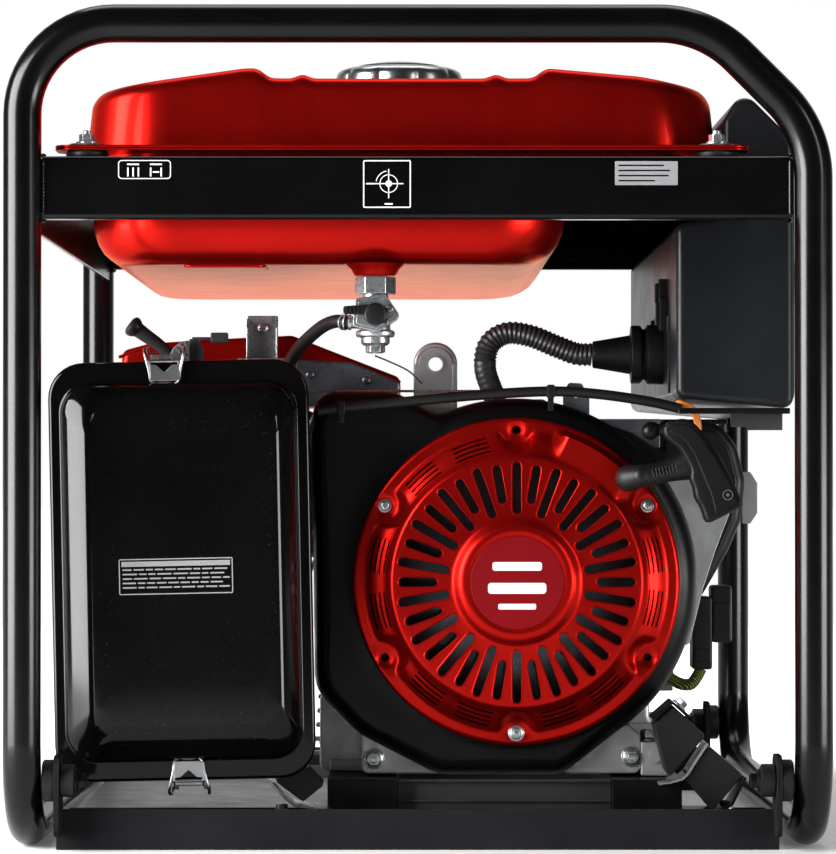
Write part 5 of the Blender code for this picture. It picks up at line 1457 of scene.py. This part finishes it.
def side_cover():
    """The moulded cover at the engine's side, with the relay and connector under it."""
    front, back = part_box("switch_box")[0].y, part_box("switch_box")[1].y
    outline = rounded(
        [(0.1700, 0.1625), (0.2010, 0.1620), (0.2209, 0.1960), (0.2309, 0.2188), (0.2335, 0.2473), (0.2273, 0.2722),
         (0.2153, 0.2870), (0.1939, 0.2905), (0.1700, 0.2905)],
        [0.009, 0.009, 0.02, 0.02, 0.02, 0.02, 0.014, 0.009, 0.009], 5, closed=True,
    )
    cover = Form().pillow(outline, "Y", back, front, 0.007, 8)
    cover.pillow(inset(outline, 0.0055), "Y", front + 0.004, front - 0.0012, 0.002, 4)
    cover.piece("side_cover", "black_plastic", nodes=["switch_box"])
    boxes = Form().block((0.2096, 0.2245), (-0.140, -0.112), (0.1314, 0.1720), 0.0022)
    boxes.block((0.2110, 0.2231), (-0.1412, -0.139), (0.1340, 0.1600), 0.0008)
    boxes.block((0.1960, 0.2103), (-0.142, -0.110), (0.1122, 0.1640), 0.0022)
    boxes.block((0.1975, 0.2088), (-0.1432, -0.141), (0.1180, 0.1270), 0.0008)
    boxes.piece("relay_and_connector", "black_plastic")
    tab = [(0.2325, 0.2160), (0.2385, 0.2160), (0.2435, 0.2235), (0.2435, 0.2450), (0.2385, 0.2530), (0.2325, 0.2530)]
    Form().plate(tab, "Y", -0.128, -0.125, 0.0006).piece("side_cover_tab", "print_grey")
    braid = smooth_route([(0.2035, -0.126, 0.1125), (0.2000, -0.126, 0.1060), (0.1955, -0.125, 0.1010),
                          (0.1880, -0.122, 0.1015), (0.1790, -0.118, 0.1070), (0.1700, -0.112, 0.1150)], 6)
    Form().sweep(braid, 0.0042, 20).piece("braided_lead", "braid")


def engine_side():
    """Grey side sheet between the shroud and the moulded cover, closing the engine's right side."""
    sheet = [(0.1700, 0.1300), (0.1930, 0.1300), (0.2029, 0.1700), (0.2120, 0.1980), (0.2222, 0.2245), (0.2100, 0.2520),
             (0.1700, 0.2620)]
    Form().plate(rounded(sheet, 0.004, 4, closed=True), "Y", -0.1510, -0.1490, 0.0006).piece("side_sheet", "aluminium")


def base_tray():
    """Grey sheet that carries the front base member's shelf back, between the left legs and the left engine rail."""
    tray = Form()
    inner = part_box("engine_rail_left")[0].x - 0.0005
    tray.block((-0.236, inner), (-0.2000, 0.1000), (0.0172, 0.0190), 0.0006)
    tray.block((-0.236, inner), (0.0980, 0.1000), (0.0172, 0.0270), 0.0006)
    tray.piece("base_tray", "grey_paint")


def rail_ends():
    """Closed ends of the two engine rails and the cross sheet between them, front and rear."""
    for side, y in (("front", (-0.2362, -0.2330)), ("rear", (0.2330, 0.2362))):
        ends = Form()
        for hand in HANDS:
            low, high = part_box(f"engine_rail_{hand}")
            ends.block((low.x, high.x), y, (low.z, high.z), 0.0010)
        ends.piece(f"rail_ends_{side}", "satin_black")
        sign = -1 if side == "front" else 1
        cross = Form()
        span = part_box("engine_rail_left")[1].x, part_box("engine_rail_right")[0].x
        at = sorted((sign * 0.224, sign * 0.2215))
        cross.block(span, at, (0.0192, 0.0408), 0.0008)
        cross.block(span, sorted((sign * 0.224, sign * 0.2285)), (0.0385, 0.0408), 0.0008)
        cross.block(span, sorted((sign * 0.224, sign * 0.2265)), (0.0250, 0.0262), 0.0005)
        cross.piece(f"rail_cross_{side}", "grey_paint")


def crankcase():
    """Cast case with its ribs, drain block, plugs and flange bolts."""
    low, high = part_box("crankcase")
    outline = rounded(
        [(-0.060, low.z), (0.180, low.z), (0.180, 0.066), (0.165, 0.078), (0.165, 0.235), (0.130, 0.283),
         (0.020, 0.286), (0.0011, 0.2693), (-0.0455, 0.1695), (-0.060, 0.120), (-0.070, 0.060)],
        [0.004, 0.004, 0.004, 0.006, 0.02, 0.02, 0.01, 0.01, 0.02, 0.02, 0.006], 5, closed=True,
    )
    solid = Form().plate(outline, "Y", low.y, high.y, 0.004)
    piston_low, piston_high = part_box("piston")
    bore_radius = (piston_high.y - piston_low.y) / 2 + 0.0008
    place = cylinder_matrix()
    bore = Form().rod(place @ Vector((0.010, 0, 0)), place @ Vector((0.160, 0, 0)), bore_radius, 64, bevel=0)
    piece_of("crankcase_casting", carved(solid, bore, "crankcase_casting"), "aluminium", nodes=["crankcase"])
    case = Form()
    for k in range(5):
        z = 0.052 + 0.010 * k
        case.block((-0.0735 + 0.0008 * k, -0.030), (low.y - 0.003, low.y + 0.01), (z, z + 0.003), 0.001)
    case.plate(rectangle((-0.069, -0.036), (0.0415, 0.0975), 0.006), "Y", low.y - 0.010, low.y + 0.01, 0.002)
    case.block((-0.062, 0.182), (low.y - 0.012, high.y + 0.004), (0.0415, 0.0500), 0.0015)
    for y in (low.y - 0.004, high.y - 0.030):
        case.block((0.150, 0.184), (y, y + 0.03), (0.0415, 0.075), 0.002)
    case.block((0.1553, 0.1742), (-0.209, low.y + 0.002), (0.0415, 0.0655), 0.0015)
    case.rod((0.1652, -0.209, 0.0550), (0.1652, -0.2108, 0.0550), 0.0045, 28)
    case.piece("crankcase_ribs", "aluminium")
    plugs = Form()
    fastener(plugs, HEX, (0.1620, -0.193, 0.0655), (0, 0, 1), 0.0088)
    fastener(plugs, HEX, (0.1742, -0.193, 0.0595), (1, 0, 0), 0.0076)
    for x, z in ((-0.0302, 0.0534), (0.1490, 0.0548)):
        at = Vector((x, -0.206, z))
        plugs.turned([(0.0072, 0), (0.0072, 0.001), (0.0064, 0.0014), (0, 0.0014)], standing(at, (0, -1, 0)), 40)
        fastener(plugs, HEX, at + Vector((0, -0.0012, 0)), (0, -1, 0), 0.0062)
    plugs.piece("case_plugs", "zinc")
    feet = Form()
    left = [(-0.0385, 0.0430), (0.0180, 0.0430), (0.0180, 0.0500), (-0.0200, 0.0760), (-0.0385, 0.0720)]
    right = [(0.1010, 0.0430), (0.1520, 0.0430), (0.1555, 0.0470), (0.1555, 0.0700), (0.1470, 0.0780), (0.1010, 0.0600)]
    for corner in (left, right):
        feet.plate(rounded(corner, 0.004, 4, closed=True), "Y", -0.2060, -0.170, 0.0015)
    feet.piece("shroud_feet", "aluminium")


def cylinder_matrix():
    """Local +X runs up the cylinder from the crankshaft's axis, and local +Z across it."""
    angle = math.radians(25)
    run, rise = math.cos(angle), math.sin(angle)
    turn = Matrix(((-run, 0, rise), (0, -1, 0), (rise, 0, run))).to_4x4()
    return Matrix.Translation((CRANK_X, -0.080, CRANK_Z)) @ turn


def cylinder():
    """Finned cylinder and head with its bolted rocker cover."""
    place = cylinder_matrix()
    head = Form().block((0.100, 0.213), (-0.052, 0.052), (-0.047, 0.047), 0.006, place)
    for k in range(12):
        x = 0.106 + 0.0088 * k
        fin = rectangle((-0.060, 0.060), (-0.060, 0.060), 0.014, 5)
        head.plate(fin, "X", x, x + 0.0020, 0.0006, matrix=place)
    head.piece("finned_cylinder", "aluminium", nodes=["cylinder_head"])
    cover = Form()
    outline = rectangle((-0.045, 0.045), (-0.038, 0.038), 0.016, 6)
    cover.plate(rectangle((-0.048, 0.048), (-0.041, 0.041), 0.018, 6), "X", 0.2125, 0.2165, 0.0008, matrix=place)
    cover.pillow(outline, "X", 0.214, 0.262, 0.012, 8, matrix=place)
    cover.piece("rocker_cover", "steel")
    bolts = Form()
    for y, z in ((-0.040, -0.033), (0.040, -0.033), (0.040, 0.033), (-0.040, 0.033)):
        at = place @ Vector((0.2165, y * 1.04, z * 1.06))
        fastener(bolts, HEX, at, place.to_3x3() @ Vector((1, 0, 0)), 0.006)
    bolts.piece("rocker_cover_bolts", "zinc")
    boot = [(0, 0), (0.0085, 0), (0.0100, 0.002), (0.0100, 0.018), (0.0078, 0.021), (0.0078, 0.030),
            (0.0092, 0.032), (0.0092, 0.0365), (0, 0.0372)]
    lying = place @ Matrix.Translation((0.2628, 0.015, -0.012)) @ Matrix.Rotation(math.radians(90), 4, "Y")
    cap = Form().turned(boot, lying, 36)
    cap.piece("plug_cap", "rubber", nodes=["spark_plug_cap"])


def muffler():
    """Pressed silencer with its seam and outlet; its guard slots are black slot-shaped plates, painted shade in place
    of openings.
    """
    low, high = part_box("muffler")
    outline = rectangle((-0.235, -0.092), (0.165, 0.300), 0.032, 10)
    shell = Form().pillow(outline, "Y", 0.024, 0.243, 0.018, 8, back_radius=0.018)
    seam = [(a, 0.1335, b) for a, b in inset(outline, -0.0015)]
    shell.sweep(seam, 0.0028, 10, closed=True)
    shell.sweep(smooth_route([(-0.113, -0.018, 0.262), (-0.113, 0.006, 0.262), (-0.113, 0.030, 0.262)], 4), 0.016, 36)
    flange = [(0.022, -0.030), (0.022, -0.026), (0.016, -0.026), (0.016, -0.030)]
    shell.turned(flange, facing_front(-0.113, 0.262), 40, ring=True)
    shell.piece("silencer", "steel", nodes=["muffler"])
    pipe = [(0.0140, -0.238), (0.0140, -0.2665), (0.0132, -0.268), (0.0118, -0.268), (0.0115, -0.250), (0, -0.250)]
    outlet = Form().turned([(0.0180, -0.238), *pipe], facing_front(-0.165, 0.215), 48)
    outlet.piece("silencer_outlet", "zinc")
    # Black slot-shaped plates on the silencer's faces: painted shade in place of the guard's openings.
    guard = Form()
    for k in range(7):
        z = 0.188 + 0.0150 * k
        guard.plate(slot_outline(0.052, 0.208, 0.0050), "X", -0.2378, -0.2350, 0.0004,
                    matrix=Matrix.Translation((0, 0, z)))
        guard.plate([(x - 0.1635, y) for x, y in slot_outline(-0.05, 0.05, 0.0050)], "Y", 0.2425, 0.2455, 0.0004,
                    matrix=Matrix.Translation((0, 0, z)))
    guard.piece("silencer_painted_slots", "print_and_painted_shade")


def alternator():
    """Laminated stator with its through bolts, and the vented end bell on its foot."""
    place = facing_front(CRANK_X, CRANK_Z)
    low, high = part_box("alternator_stator")
    housing = [(0.060, -low.y), (0.0945, -low.y), (0.095, -low.y - 0.001), (0.095, -0.090), (0.093, -0.092),
               (0.093, -0.160), (0.095, -0.162), (0.095, -high.y + 0.001), (0.0945, -high.y), (0.060, -high.y)]
    stator = Form().turned(housing, place, 96, ring=True)
    stator.piece("stator_housing", "aluminium", nodes=["alternator_stator"])
    packs = Form()
    for k in range(34):
        y = -0.0935 - 0.0020 * k
        packs.turned([(0.088, y), (0.0950, y), (0.0950, y - 0.0013), (0.088, y - 0.0013)], place, 72, ring=True)
    packs.piece("stator_laminations", "steel")
    rods = Form()
    for k in range(4):
        angle = math.radians(45 + 90 * k)
        at = place @ Vector((0.1010 * math.cos(angle), 0.1010 * math.sin(angle), 0))
        rods.rod((at.x, low.y + 0.004, at.z), (at.x, 0.246, at.z), 0.0032, 16)
        fastener(rods, HEX, (at.x, 0.246, at.z), (0, 1, 0), 0.0072)
        for y in (low.y + 0.002, 0.190, 0.206):
            spin = place @ Matrix.Rotation(angle, 4, "Z")
            rods.block((0.090, 0.1075), (-0.0075, 0.0075), (-y - 0.008, -y), 0.002, spin)
    rods.piece("alternator_bolts", "zinc")
    windings = [(0, 0.005), (0.012, 0.005), (0.012, -0.010), (0.0555, -0.012), (0.057, -0.016),
                (0.057, -0.180), (0.0555, -0.184), (0.012, -0.188), (0.012, -0.262), (0, -0.262)]
    core = Form().turned(windings, place, 72)
    core.piece("rotor_windings", "copper", "crank", ["alternator_rotor"])
    bell_low, bell_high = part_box("alternator_end_bell")
    bell = Form().turned([(0.0125, -0.240), (0.084, -0.205), (0.086, -0.1955), (0.0965, -0.1955), (0.097, -0.197),
                          (0.097, -0.246), (0.094, -0.254), (0.086, -0.2655), (0.080, -0.2685), (0.032, -0.2718),
                          (0.028, -0.272), (0.0125, -0.272)], place, 120, ring=True)
    vents = Form()
    for k in range(20):
        spin = spin_z(18 * k)
        vents.plate(slot_outline(0.042, 0.077, 0.0062), "Z", -0.30, -0.262, 0, matrix=spin)
        vents.block((0.088, 0.11), (-0.0055, 0.0055), (-0.245, -0.212), 0, spin @ spin_z(9))
    for tool in vents.shape.verts:
        tool.co = place @ tool.co
    mesh = carved(bell, vents, "end_bell")
    piece_of("end_bell", mesh, "aluminium", nodes=["alternator_end_bell"])
    foot = Form()
    for x in ((-0.010, 0.030), (0.106, 0.146)):
        right, left = (0.03, 0.01) if x[0] > 0.05 else (-0.01, -0.03)
        leg = [(x[0], 0.0415), (x[1], 0.0415), (x[1] - 0.006, 0.0500), (CRANK_X + right, 0.098),
               (CRANK_X + left, 0.098), (x[0] + 0.006, 0.0500)]
        foot.plate(leg, "Y", 0.208, 0.232, 0.002)
        fastener(foot, HEX, ((x[0] + x[1]) / 2, 0.220, 0.0465), (0, 0, 1), 0.008)
    foot.block((-0.010, 0.146), (0.208, 0.232), (0.0415, 0.0470), 0.0015)
    foot.piece("end_bell_foot", "aluminium")
    cap = Form().turned([(0.027, -0.2700), (0.027, -0.2728), (0.024, -0.2745), (0, -0.2745)], place, 56)
    cap.piece("bearing_cover", "satin_black")


def oil_plug():
    """Ribbed filler plug with its grip."""
    low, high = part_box("oil_filler_plug")
    centre = (low + high) / 2
    place = standing((low.x, centre.y, centre.z), (1, 0, 0))
    plug = Form().turned([(0.0130, 0), (0.0140, 0.001), (0.0140, 0.010), (0.0130, 0.0118), (0.0090, 0.0125),
                          (0.0080, 0.0218), (0, 0.0220)], place, 56)
    for k in range(24):
        plug.block((0.0128, 0.0144), (-0.0007, 0.0007), (0.0015, 0.0100), 0.0002,
                   place @ spin_z(15 * k))
    plug.block((-0.0025, 0.0025), (-0.0120, 0.0120), (0.0100, 0.0220), 0.0012, place)
    plug.piece("oil_plug_grip", "grey_plastic", "oil_plug", ["oil_filler_plug"])


# Control box and wiring


def control_box():
    """Folded sheet box, its end caps and screws."""
    low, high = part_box("control_box")
    front, back = -0.272, 0.285
    outline = rounded(
        [(0.176, 0.303), (0.256, 0.296), (0.256, 0.479), (0.221, 0.514), (0.208, 0.492), (0.208, 0.428),
         (0.176, 0.422)],
        [0.007, 0.007, 0.010, 0.010, 0.008, 0.003, 0.007], 6, closed=True,
    )
    box = Form().pillow(outline, "Y", back, front, 0.005, 6, back_radius=0.003)
    for span in ((low.y, front + 0.002), (back - 0.002, high.y)):
        box.block((0.215, 0.245), span, (0.430, 0.455), 0.001)
    box.piece("box_shell", "box_black", nodes=["control_box"])
    screws = Form()
    for x, z in ((0.184, 0.313), (0.247, 0.307), (0.184, 0.412), (0.247, 0.470)):
        fastener(screws, PHILLIPS, (x, back, z), (0, 1, 0), 0.0030)
    for y in (-0.22, -0.11, 0.0, 0.11, 0.22):
        fastener(screws, PHILLIPS, (0.2385, y, 0.4972), (0.7, 0, 0.7), 0.0030)
    screws.piece("box_screws", "steel")
    rails = Form()
    for y in (-0.262, 0.274):
        rails.block((0.178, 0.254), (y - 0.004, y + 0.004), (0.2925, 0.2965), 0.0008)
    rails.piece("box_underside_ribs", "satin_black")
    support = Form().block((0.2140, 0.2495), (-0.2580, -0.2550), (0.2835, 0.2950), 0.0008)
    support.block((0.2260, 0.2495), (-0.2580, -0.2420), (0.2815, 0.2840), 0.0006)
    support.piece("box_support", "grey_paint")


def control_panel():
    """Panel with two round sockets, a breaker, the engine switch, an earth post and printed scales."""
    low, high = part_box("control_panel")
    face = 0.2583
    panel = Form().plate(rectangle((-0.252, 0.268), (0.303, 0.473), 0.008), "X", low.x, face, 0.0006)
    panel.piece("panel_plate", "satin_black", nodes=["control_panel"])
    sockets, pins = Form(), Form()
    for side in SIDES:
        lid_low, lid_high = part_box(f"socket_lid_{side}")
        y = (lid_low.y + lid_high.y) / 2
        place = standing((face - 0.001, y, PANEL_ROW_Z), (1, 0, 0))
        rim = 0.266 - face + 0.001
        sockets.turned([(0.028, 0), (0.028, rim - 0.001), (0.027, rim), (0.0225, rim), (0.022, rim - 0.001),
                        (0.0205, 0.002), (0.0205, 0.0005), (0, 0.0005)], place, 72)
        for a in (0, 180):
            at = place @ spin_z(a) @ Vector((0.0095, 0, 0))
            pins.turned([(0.0028, 0), (0.0028, 0.0016), (0.0021, 0.0016), (0.0021, 0.0004), (0, 0.0004)],
                        standing((face, at.y, at.z), (1, 0, 0)), 24)
        for sign in (-1, 1):
            earth = sorted((PANEL_ROW_Z + sign * 0.0160, PANEL_ROW_Z + sign * 0.0200))
            pins.block((face, face + 0.004), (y - 0.0022, y + 0.0022), earth, 0.0004)
        for dy, dz in ((-0.0215, 0.0215), (0.0215, 0.0215), (-0.0215, -0.0215), (0.0215, -0.0215)):
            fastener(pins, PHILLIPS, (face, y + dy * 1.08, PANEL_ROW_Z + dz * 1.08), (1, 0, 0), 0.0026)
        lid = Form().turned([(0.0262, 0), (0.0275, 0.0008), (0.0275, 0.0022), (0.0262, 0.0030), (0.0200, 0.0030),
                             (0.0190, 0.0026), (0, 0.0026)], standing((lid_low.x, y, PANEL_ROW_Z), (1, 0, 0)), 72)
        lid.block((lid_low.x, lid_high.x), (y - 0.012, y + 0.012), (0.404, lid_high.z), 0.0006)
        pin = lid_low.x + 0.0016, lid_high.z - 0.0018
        lid.rod((pin[0], y - 0.0125, pin[1]), (pin[0], y + 0.0125, pin[1]), 0.0016, 20)
        lid.block((lid_low.x, lid_high.x), (y - 0.006, y + 0.006), (0.3545, 0.3600), 0.0008)
        lid.piece(f"lid_{side}", "black_plastic", f"lid_{side}", [f"socket_lid_{side}"])
    sockets.piece("socket_bodies", "grey_plastic")
    pins.piece("socket_contacts", "zinc")
    breaker = middle("breaker_lever")
    form = Form().block((face, 0.264), (breaker.y - 0.012, breaker.y + 0.012), (0.362, 0.408), 0.0010)
    form.block((0.263, 0.2652), (breaker.y - 0.0095, breaker.y + 0.0095), (0.372, 0.398), 0.0006)
    form.piece("breaker_case", "grey_plastic")
    lever = Form().rod((0.2685, breaker.y - 0.008, PANEL_ROW_Z), (0.2685, breaker.y + 0.008, PANEL_ROW_Z), 0.0041, 32)
    lever.block((0.2690, 0.2755), (breaker.y - 0.007, breaker.y + 0.007), (0.3832, 0.3868), 0.0010)
    for k in range(3):
        lever.block((0.2753, 0.2757), (breaker.y - 0.006, breaker.y + 0.006),
                    (0.3838 + 0.001 * k, 0.3842 + 0.001 * k), 0.0001)
    lever.piece("breaker_toggle", "black_plastic", "breaker", ["breaker_lever"])
    key = middle("engine_switch")
    boss = Form().turned([(0.017, 0), (0.017, 0.0045), (0.0155, 0.0057), (0.0130, 0.0057), (0.0128, 0.004), (0, 0.004)],
                         standing((face, key.y, PANEL_ROW_Z), (1, 0, 0)), 56)
    boss.piece("switch_boss", "zinc")
    knob = Form().turned([(0.012, 0), (0.012, 0.0028), (0.0112, 0.0037), (0, 0.0037)],
                         standing((0.2643, key.y, PANEL_ROW_Z), (1, 0, 0)), 48)
    knob.block((0.2670, 0.2755), (key.y - 0.0025, key.y + 0.0025), (0.374, 0.396), 0.0009)
    knob.piece("switch_knob", "black_plastic", "key", ["engine_switch"])
    panel_marks(face, key.y, breaker.y)
    earth = Form().turned([(0.008, 0), (0.008, 0.0012), (0.0035, 0.0014), (0.0035, 0.012), (0.003, 0.0125),
                           (0, 0.0125)],
                          standing((face, 0.235, 0.335), (1, 0, 0)), 32)
    earth.plate([(0.235 + a, 0.335 + b) for a, b in hexagon(0.0068)], "X", face + 0.001, face + 0.0055, 0.0005)
    earth.piece("earth_post", "zinc")


def panel_marks(face, key_y, breaker_y):
    """Generic printing on the panel: frames round the controls and position ticks."""
    ink = (face - 0.0005, face + 0.0002)
    marks = Form()
    for y, half, low_z, high_z in (
        (key_y, 0.033, 0.345, 0.425), (breaker_y, 0.024, 0.345, 0.425), (-0.06, 0.080, 0.342, 0.432),
    ):
        outer = rectangle((y - half, y + half), (low_z, high_z), 0.004)
        marks.plate(outer, "X", *ink, bevel=0, holes=[inset(outer, 0.0007)])
    for angle in (0, 60):
        a = math.radians(90 + angle)
        for reach in (0.0205, 0.0225):
            y, z = key_y + reach * math.cos(a), PANEL_ROW_Z + reach * math.sin(a)
            marks.block(ink, (y - 0.0012, y + 0.0012), (z - 0.0012, z + 0.0012), 0)
    off = (breaker_y, 0.4155)
    marks.plate(circle(off, 0.0026, 28), "X", *ink, bevel=0, holes=[circle(off, 0.0019, 28)])
    marks.block(ink, (breaker_y - 0.0004, breaker_y + 0.0004), (0.3525, 0.3575), 0)
    marks.piece("panel_marks", "print_white")


def harness():
    """The cable over the shroud, its ties and the pale wires at its end."""
    y = -0.2295
    heights = [
        (-0.069, 0.2950), (-0.050, 0.2975), (-0.012, 0.3010), (0.043, 0.3060), (0.092, 0.3085),
        (0.126, 0.3065), (0.160, 0.3015), (0.182, 0.2965),
    ]
    path = smooth_route([(x, y, z) for x, z in heights], 10)
    Form().sweep(path, 0.0035, 24).piece("harness", "rubber", nodes=["harness_cable"])
    ties = Form()
    for x, drop in ((-0.0525, 0.006), (0.093, 0.009)):
        at = min(path, key=lambda point: abs(point.x - x))
        ties.block((at.x - 0.0028, at.x + 0.0028), (at.y - 0.0046, at.y + 0.0046),
                   (at.z - 0.0046, at.z + 0.0046), 0.0012)
        ties.block((at.x - 0.0020, at.x + 0.0020), (at.y - 0.0020, at.y + 0.0020),
                   (at.z - 0.0046 - drop, at.z - 0.0040), 0.0006)
    ties.piece("harness_ties", "black_plastic")
    wires = Form()
    for k in range(3):
        route = [(0.1735 + 0.002 * k, y + 0.001 * k, 0.2985 + 0.0008 * k), (0.182, y, 0.2985 + 0.0014 * k),
                 (0.1890 + 0.0010 * k, y + 0.002, 0.2945 + 0.0012 * k), (0.1925 + 0.0014 * k, y + 0.006, 0.2870),
                 (0.1925 + 0.0014 * k, y + 0.014, 0.2760)]
        wires.sweep(smooth_route(route, 6), 0.0012, 10)
    wires.piece("harness_wires", "wire_orange")


def conduit():
    """Corrugated conduit, its taped lower end and the stepped boot on the control box."""
    y = -0.142
    bends = [
        (0.059, 0.2875), (0.055, 0.306), (0.0485, 0.326), (0.051, 0.343), (0.063, 0.3515),
        (0.080, 0.3500), (0.099, 0.3425), (0.113, 0.3373), (0.1245, 0.3365),
    ]
    path = evenly(smooth_route([(x, y, z) for x, z in bends], 12), 0.00055)
    taped = int(len(path) * 0.34)
    radii = [0.0078 + 0.0001 * math.sin(k * 0.9) if k < taped else 0.0078 + 0.0005 * math.cos(k * 2 * math.pi / 6)
             for k in range(len(path))]
    Form().sweep(path, radii, 32).piece("conduit_hose", "conduit_black", nodes=["conduit"])
    low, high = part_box("conduit_boot")
    place = standing((low.x, y, 0.3365), (1, 0, 0))
    length = high.x - low.x
    boot = [(0.0088, 0), (0.0096, 0.0008), (0.0100, 0.004), (0.0138, 0.0262), (0.0150, 0.0268), (0.0202, 0.0272),
            (0.0207, 0.0280), (0.0207, 0.0330), (0.0200, 0.0345), (0.0185, 0.0352), (0.0180, 0.0368), (0.0190, 0.0378),
            (0.0208, 0.0386), (0.0212, 0.0398), (0.0212, length - 0.0015), (0.0200, length), (0, length)]
    Form().turned(boot, place, 72).piece("boot", "rubber", nodes=["conduit_boot"])


# The rest of the frame's own nodes keep their shape


def carry_over():
    """CAD nodes that are right as they are get a material and softened edges."""
    slot_of = {part["node"]: part["material_slot"] for part in frame["record"]["subparts"]}
    for name, node in frame["nodes"].items():
        node.data.materials.clear()
        node.data.materials.append(LOOKS["base_black" if "base_member" in name else slot_of[name]])
        weld_points = node.modifiers.new("join", "WELD")
        weld_points.merge_threshold = 0.00001
        soften = node.modifiers.new("soften", "BEVEL")
        soften.width = 0.0007
        soften.segments = 2
        soften.limit_method = "ANGLE"
        soften.angle_limit = SHARP


# Camera, light and floor

# The photo gives only the loops' spacing as 0.248 of the camera's distance, so this follows from the assumed length.
CAMERA_DISTANCE = 2.68
CAMERA_LENS, SENSOR = 169.9, 36
EYE_X, EYE_Z, AIM_Z = -0.008, 0.2487, 0.2826
GAMMA = 0.86
WORLD_FOR_OBJECTS = 0.07
FLOOR_DIM = 0.12
FLOOR_WHITENS = 0.33, 0.75


def studio():
    """The photo's camera, soft area lights, and a world that is white to the camera and dim to the object."""
    scene = bpy.context.scene
    data = bpy.data.cameras.new("camera")
    data.lens, data.sensor_width = CAMERA_LENS, SENSOR
    camera = bpy.data.objects.new("camera", data)
    eye, target = Vector((EYE_X, -LOOP_Y - CAMERA_DISTANCE, EYE_Z)), Vector((0, -LOOP_Y, AIM_Z))
    camera.location = eye
    camera.rotation_euler = (target - eye).to_track_quat("-Z", "Y").to_euler()
    scene.collection.objects.link(camera)
    scene.camera = camera
    for name, place, size, power in (
        ("left_side", (-1.5, -0.95, 0.50), (1.2, 1.5), 105),
        ("right_low", (1.45, -1.05, 0.12), (0.8, 0.46), 17),
        ("right_strip", (1.30, -1.25, 0.85), (0.16, 0.7), 4),
        ("backdrop", (0, 3.2, 1.5), (7.0, 3.0), 50),
        ("overhead", (0, 0.6, 2.2), (1.6, 1.0), 16),
    ):
        light = bpy.data.lights.new(name, "AREA")
        light.shape = "RECTANGLE"
        light.size, light.size_y = size
        light.energy = power
        lamp = bpy.data.objects.new(name, light)
        lamp.location = place
        lamp.rotation_euler = (Vector((0, 0, 0.25)) - Vector(place)).to_track_quat("-Z", "Y").to_euler()
        scene.collection.objects.link(lamp)
    world = bpy.data.worlds.new("studio")
    world.use_nodes = True
    scene.world = world
    tree = world.node_tree
    pale = tree.nodes.new("ShaderNodeBackground")
    pale.inputs["Color"].default_value = (1, 1, 1, 1)
    pale.inputs["Strength"].default_value = 1.0
    dim = tree.nodes["Background"]
    dim.inputs["Color"].default_value = (1, 1, 1, 1)
    dim.inputs["Strength"].default_value = WORLD_FOR_OBJECTS
    seen = tree.nodes.new("ShaderNodeLightPath")
    mixed = tree.nodes.new("ShaderNodeMixShader")
    tree.links.new(seen.outputs["Is Camera Ray"], mixed.inputs["Fac"])
    tree.links.new(dim.outputs["Background"], mixed.inputs[1])
    tree.links.new(pale.outputs["Background"], mixed.inputs[2])
    tree.links.new(mixed.outputs["Shader"], tree.nodes["World Output"].inputs["Surface"])
    scene.view_settings.view_transform = "Standard"
    scene.view_settings.gamma = GAMMA
    add_floor()


def add_floor():
    """A pale floor, plain white behind the object and dim in front, where the filter's face would reflect it."""
    mesh = bpy.data.meshes.new("floor")
    shape = bmesh.new()
    bmesh.ops.create_circle(shape, cap_ends=True, segments=96, radius=30)
    shape.to_mesh(mesh)
    shape.free()
    floor = bpy.data.objects.new("floor", mesh)
    floor.location.z = -0.0002
    bpy.context.scene.collection.objects.link(floor)
    material = bpy.data.materials.new("floor")
    material.use_nodes = True
    tree = material.node_tree
    shader = tree.nodes["Principled BSDF"]
    shader.inputs["Base Color"].default_value = (0.86, 0.86, 0.86, 1)
    shader.inputs["Roughness"].default_value = 0.6
    shader.inputs["Emission Color"].default_value = (1, 1, 1, 1)
    parts = tree.nodes.new("ShaderNodeSeparateXYZ")
    tree.links.new(tree.nodes.new("ShaderNodeTexCoord").outputs["Object"], parts.inputs[0])
    fade = tree.nodes.new("ShaderNodeMapRange")
    fade.inputs["From Min"].default_value, fade.inputs["From Max"].default_value = FLOOR_WHITENS
    fade.inputs["To Min"].default_value = FLOOR_DIM
    tree.links.new(parts.outputs["Y"], fade.inputs["Value"])
    tree.links.new(fade.outputs["Result"], shader.inputs["Emission Strength"])
    mesh.materials.append(material)


studio()
carry_over()
frame_loops()
crossbars()
bar_marks()
isolators()
engine_mount_details()
tank()
tank_fixings()
filler_cap()
fuel_gauge()
fuel_tap()
fuel_hose()
air_filter()
latches()
choke()
carburettor()
recoil_cover()
rope_outlet()
starter_handle()
fan_shroud()
fan()
recoil_reel()
engine_cowl()
top_fittings()
lifting_lug()
side_cover()
engine_side()
rail_ends()
base_tray()
crankcase()
cylinder()
muffler()
alternator()
oil_plug()
control_box()
box_connectors()
control_panel()
harness()
conduit()
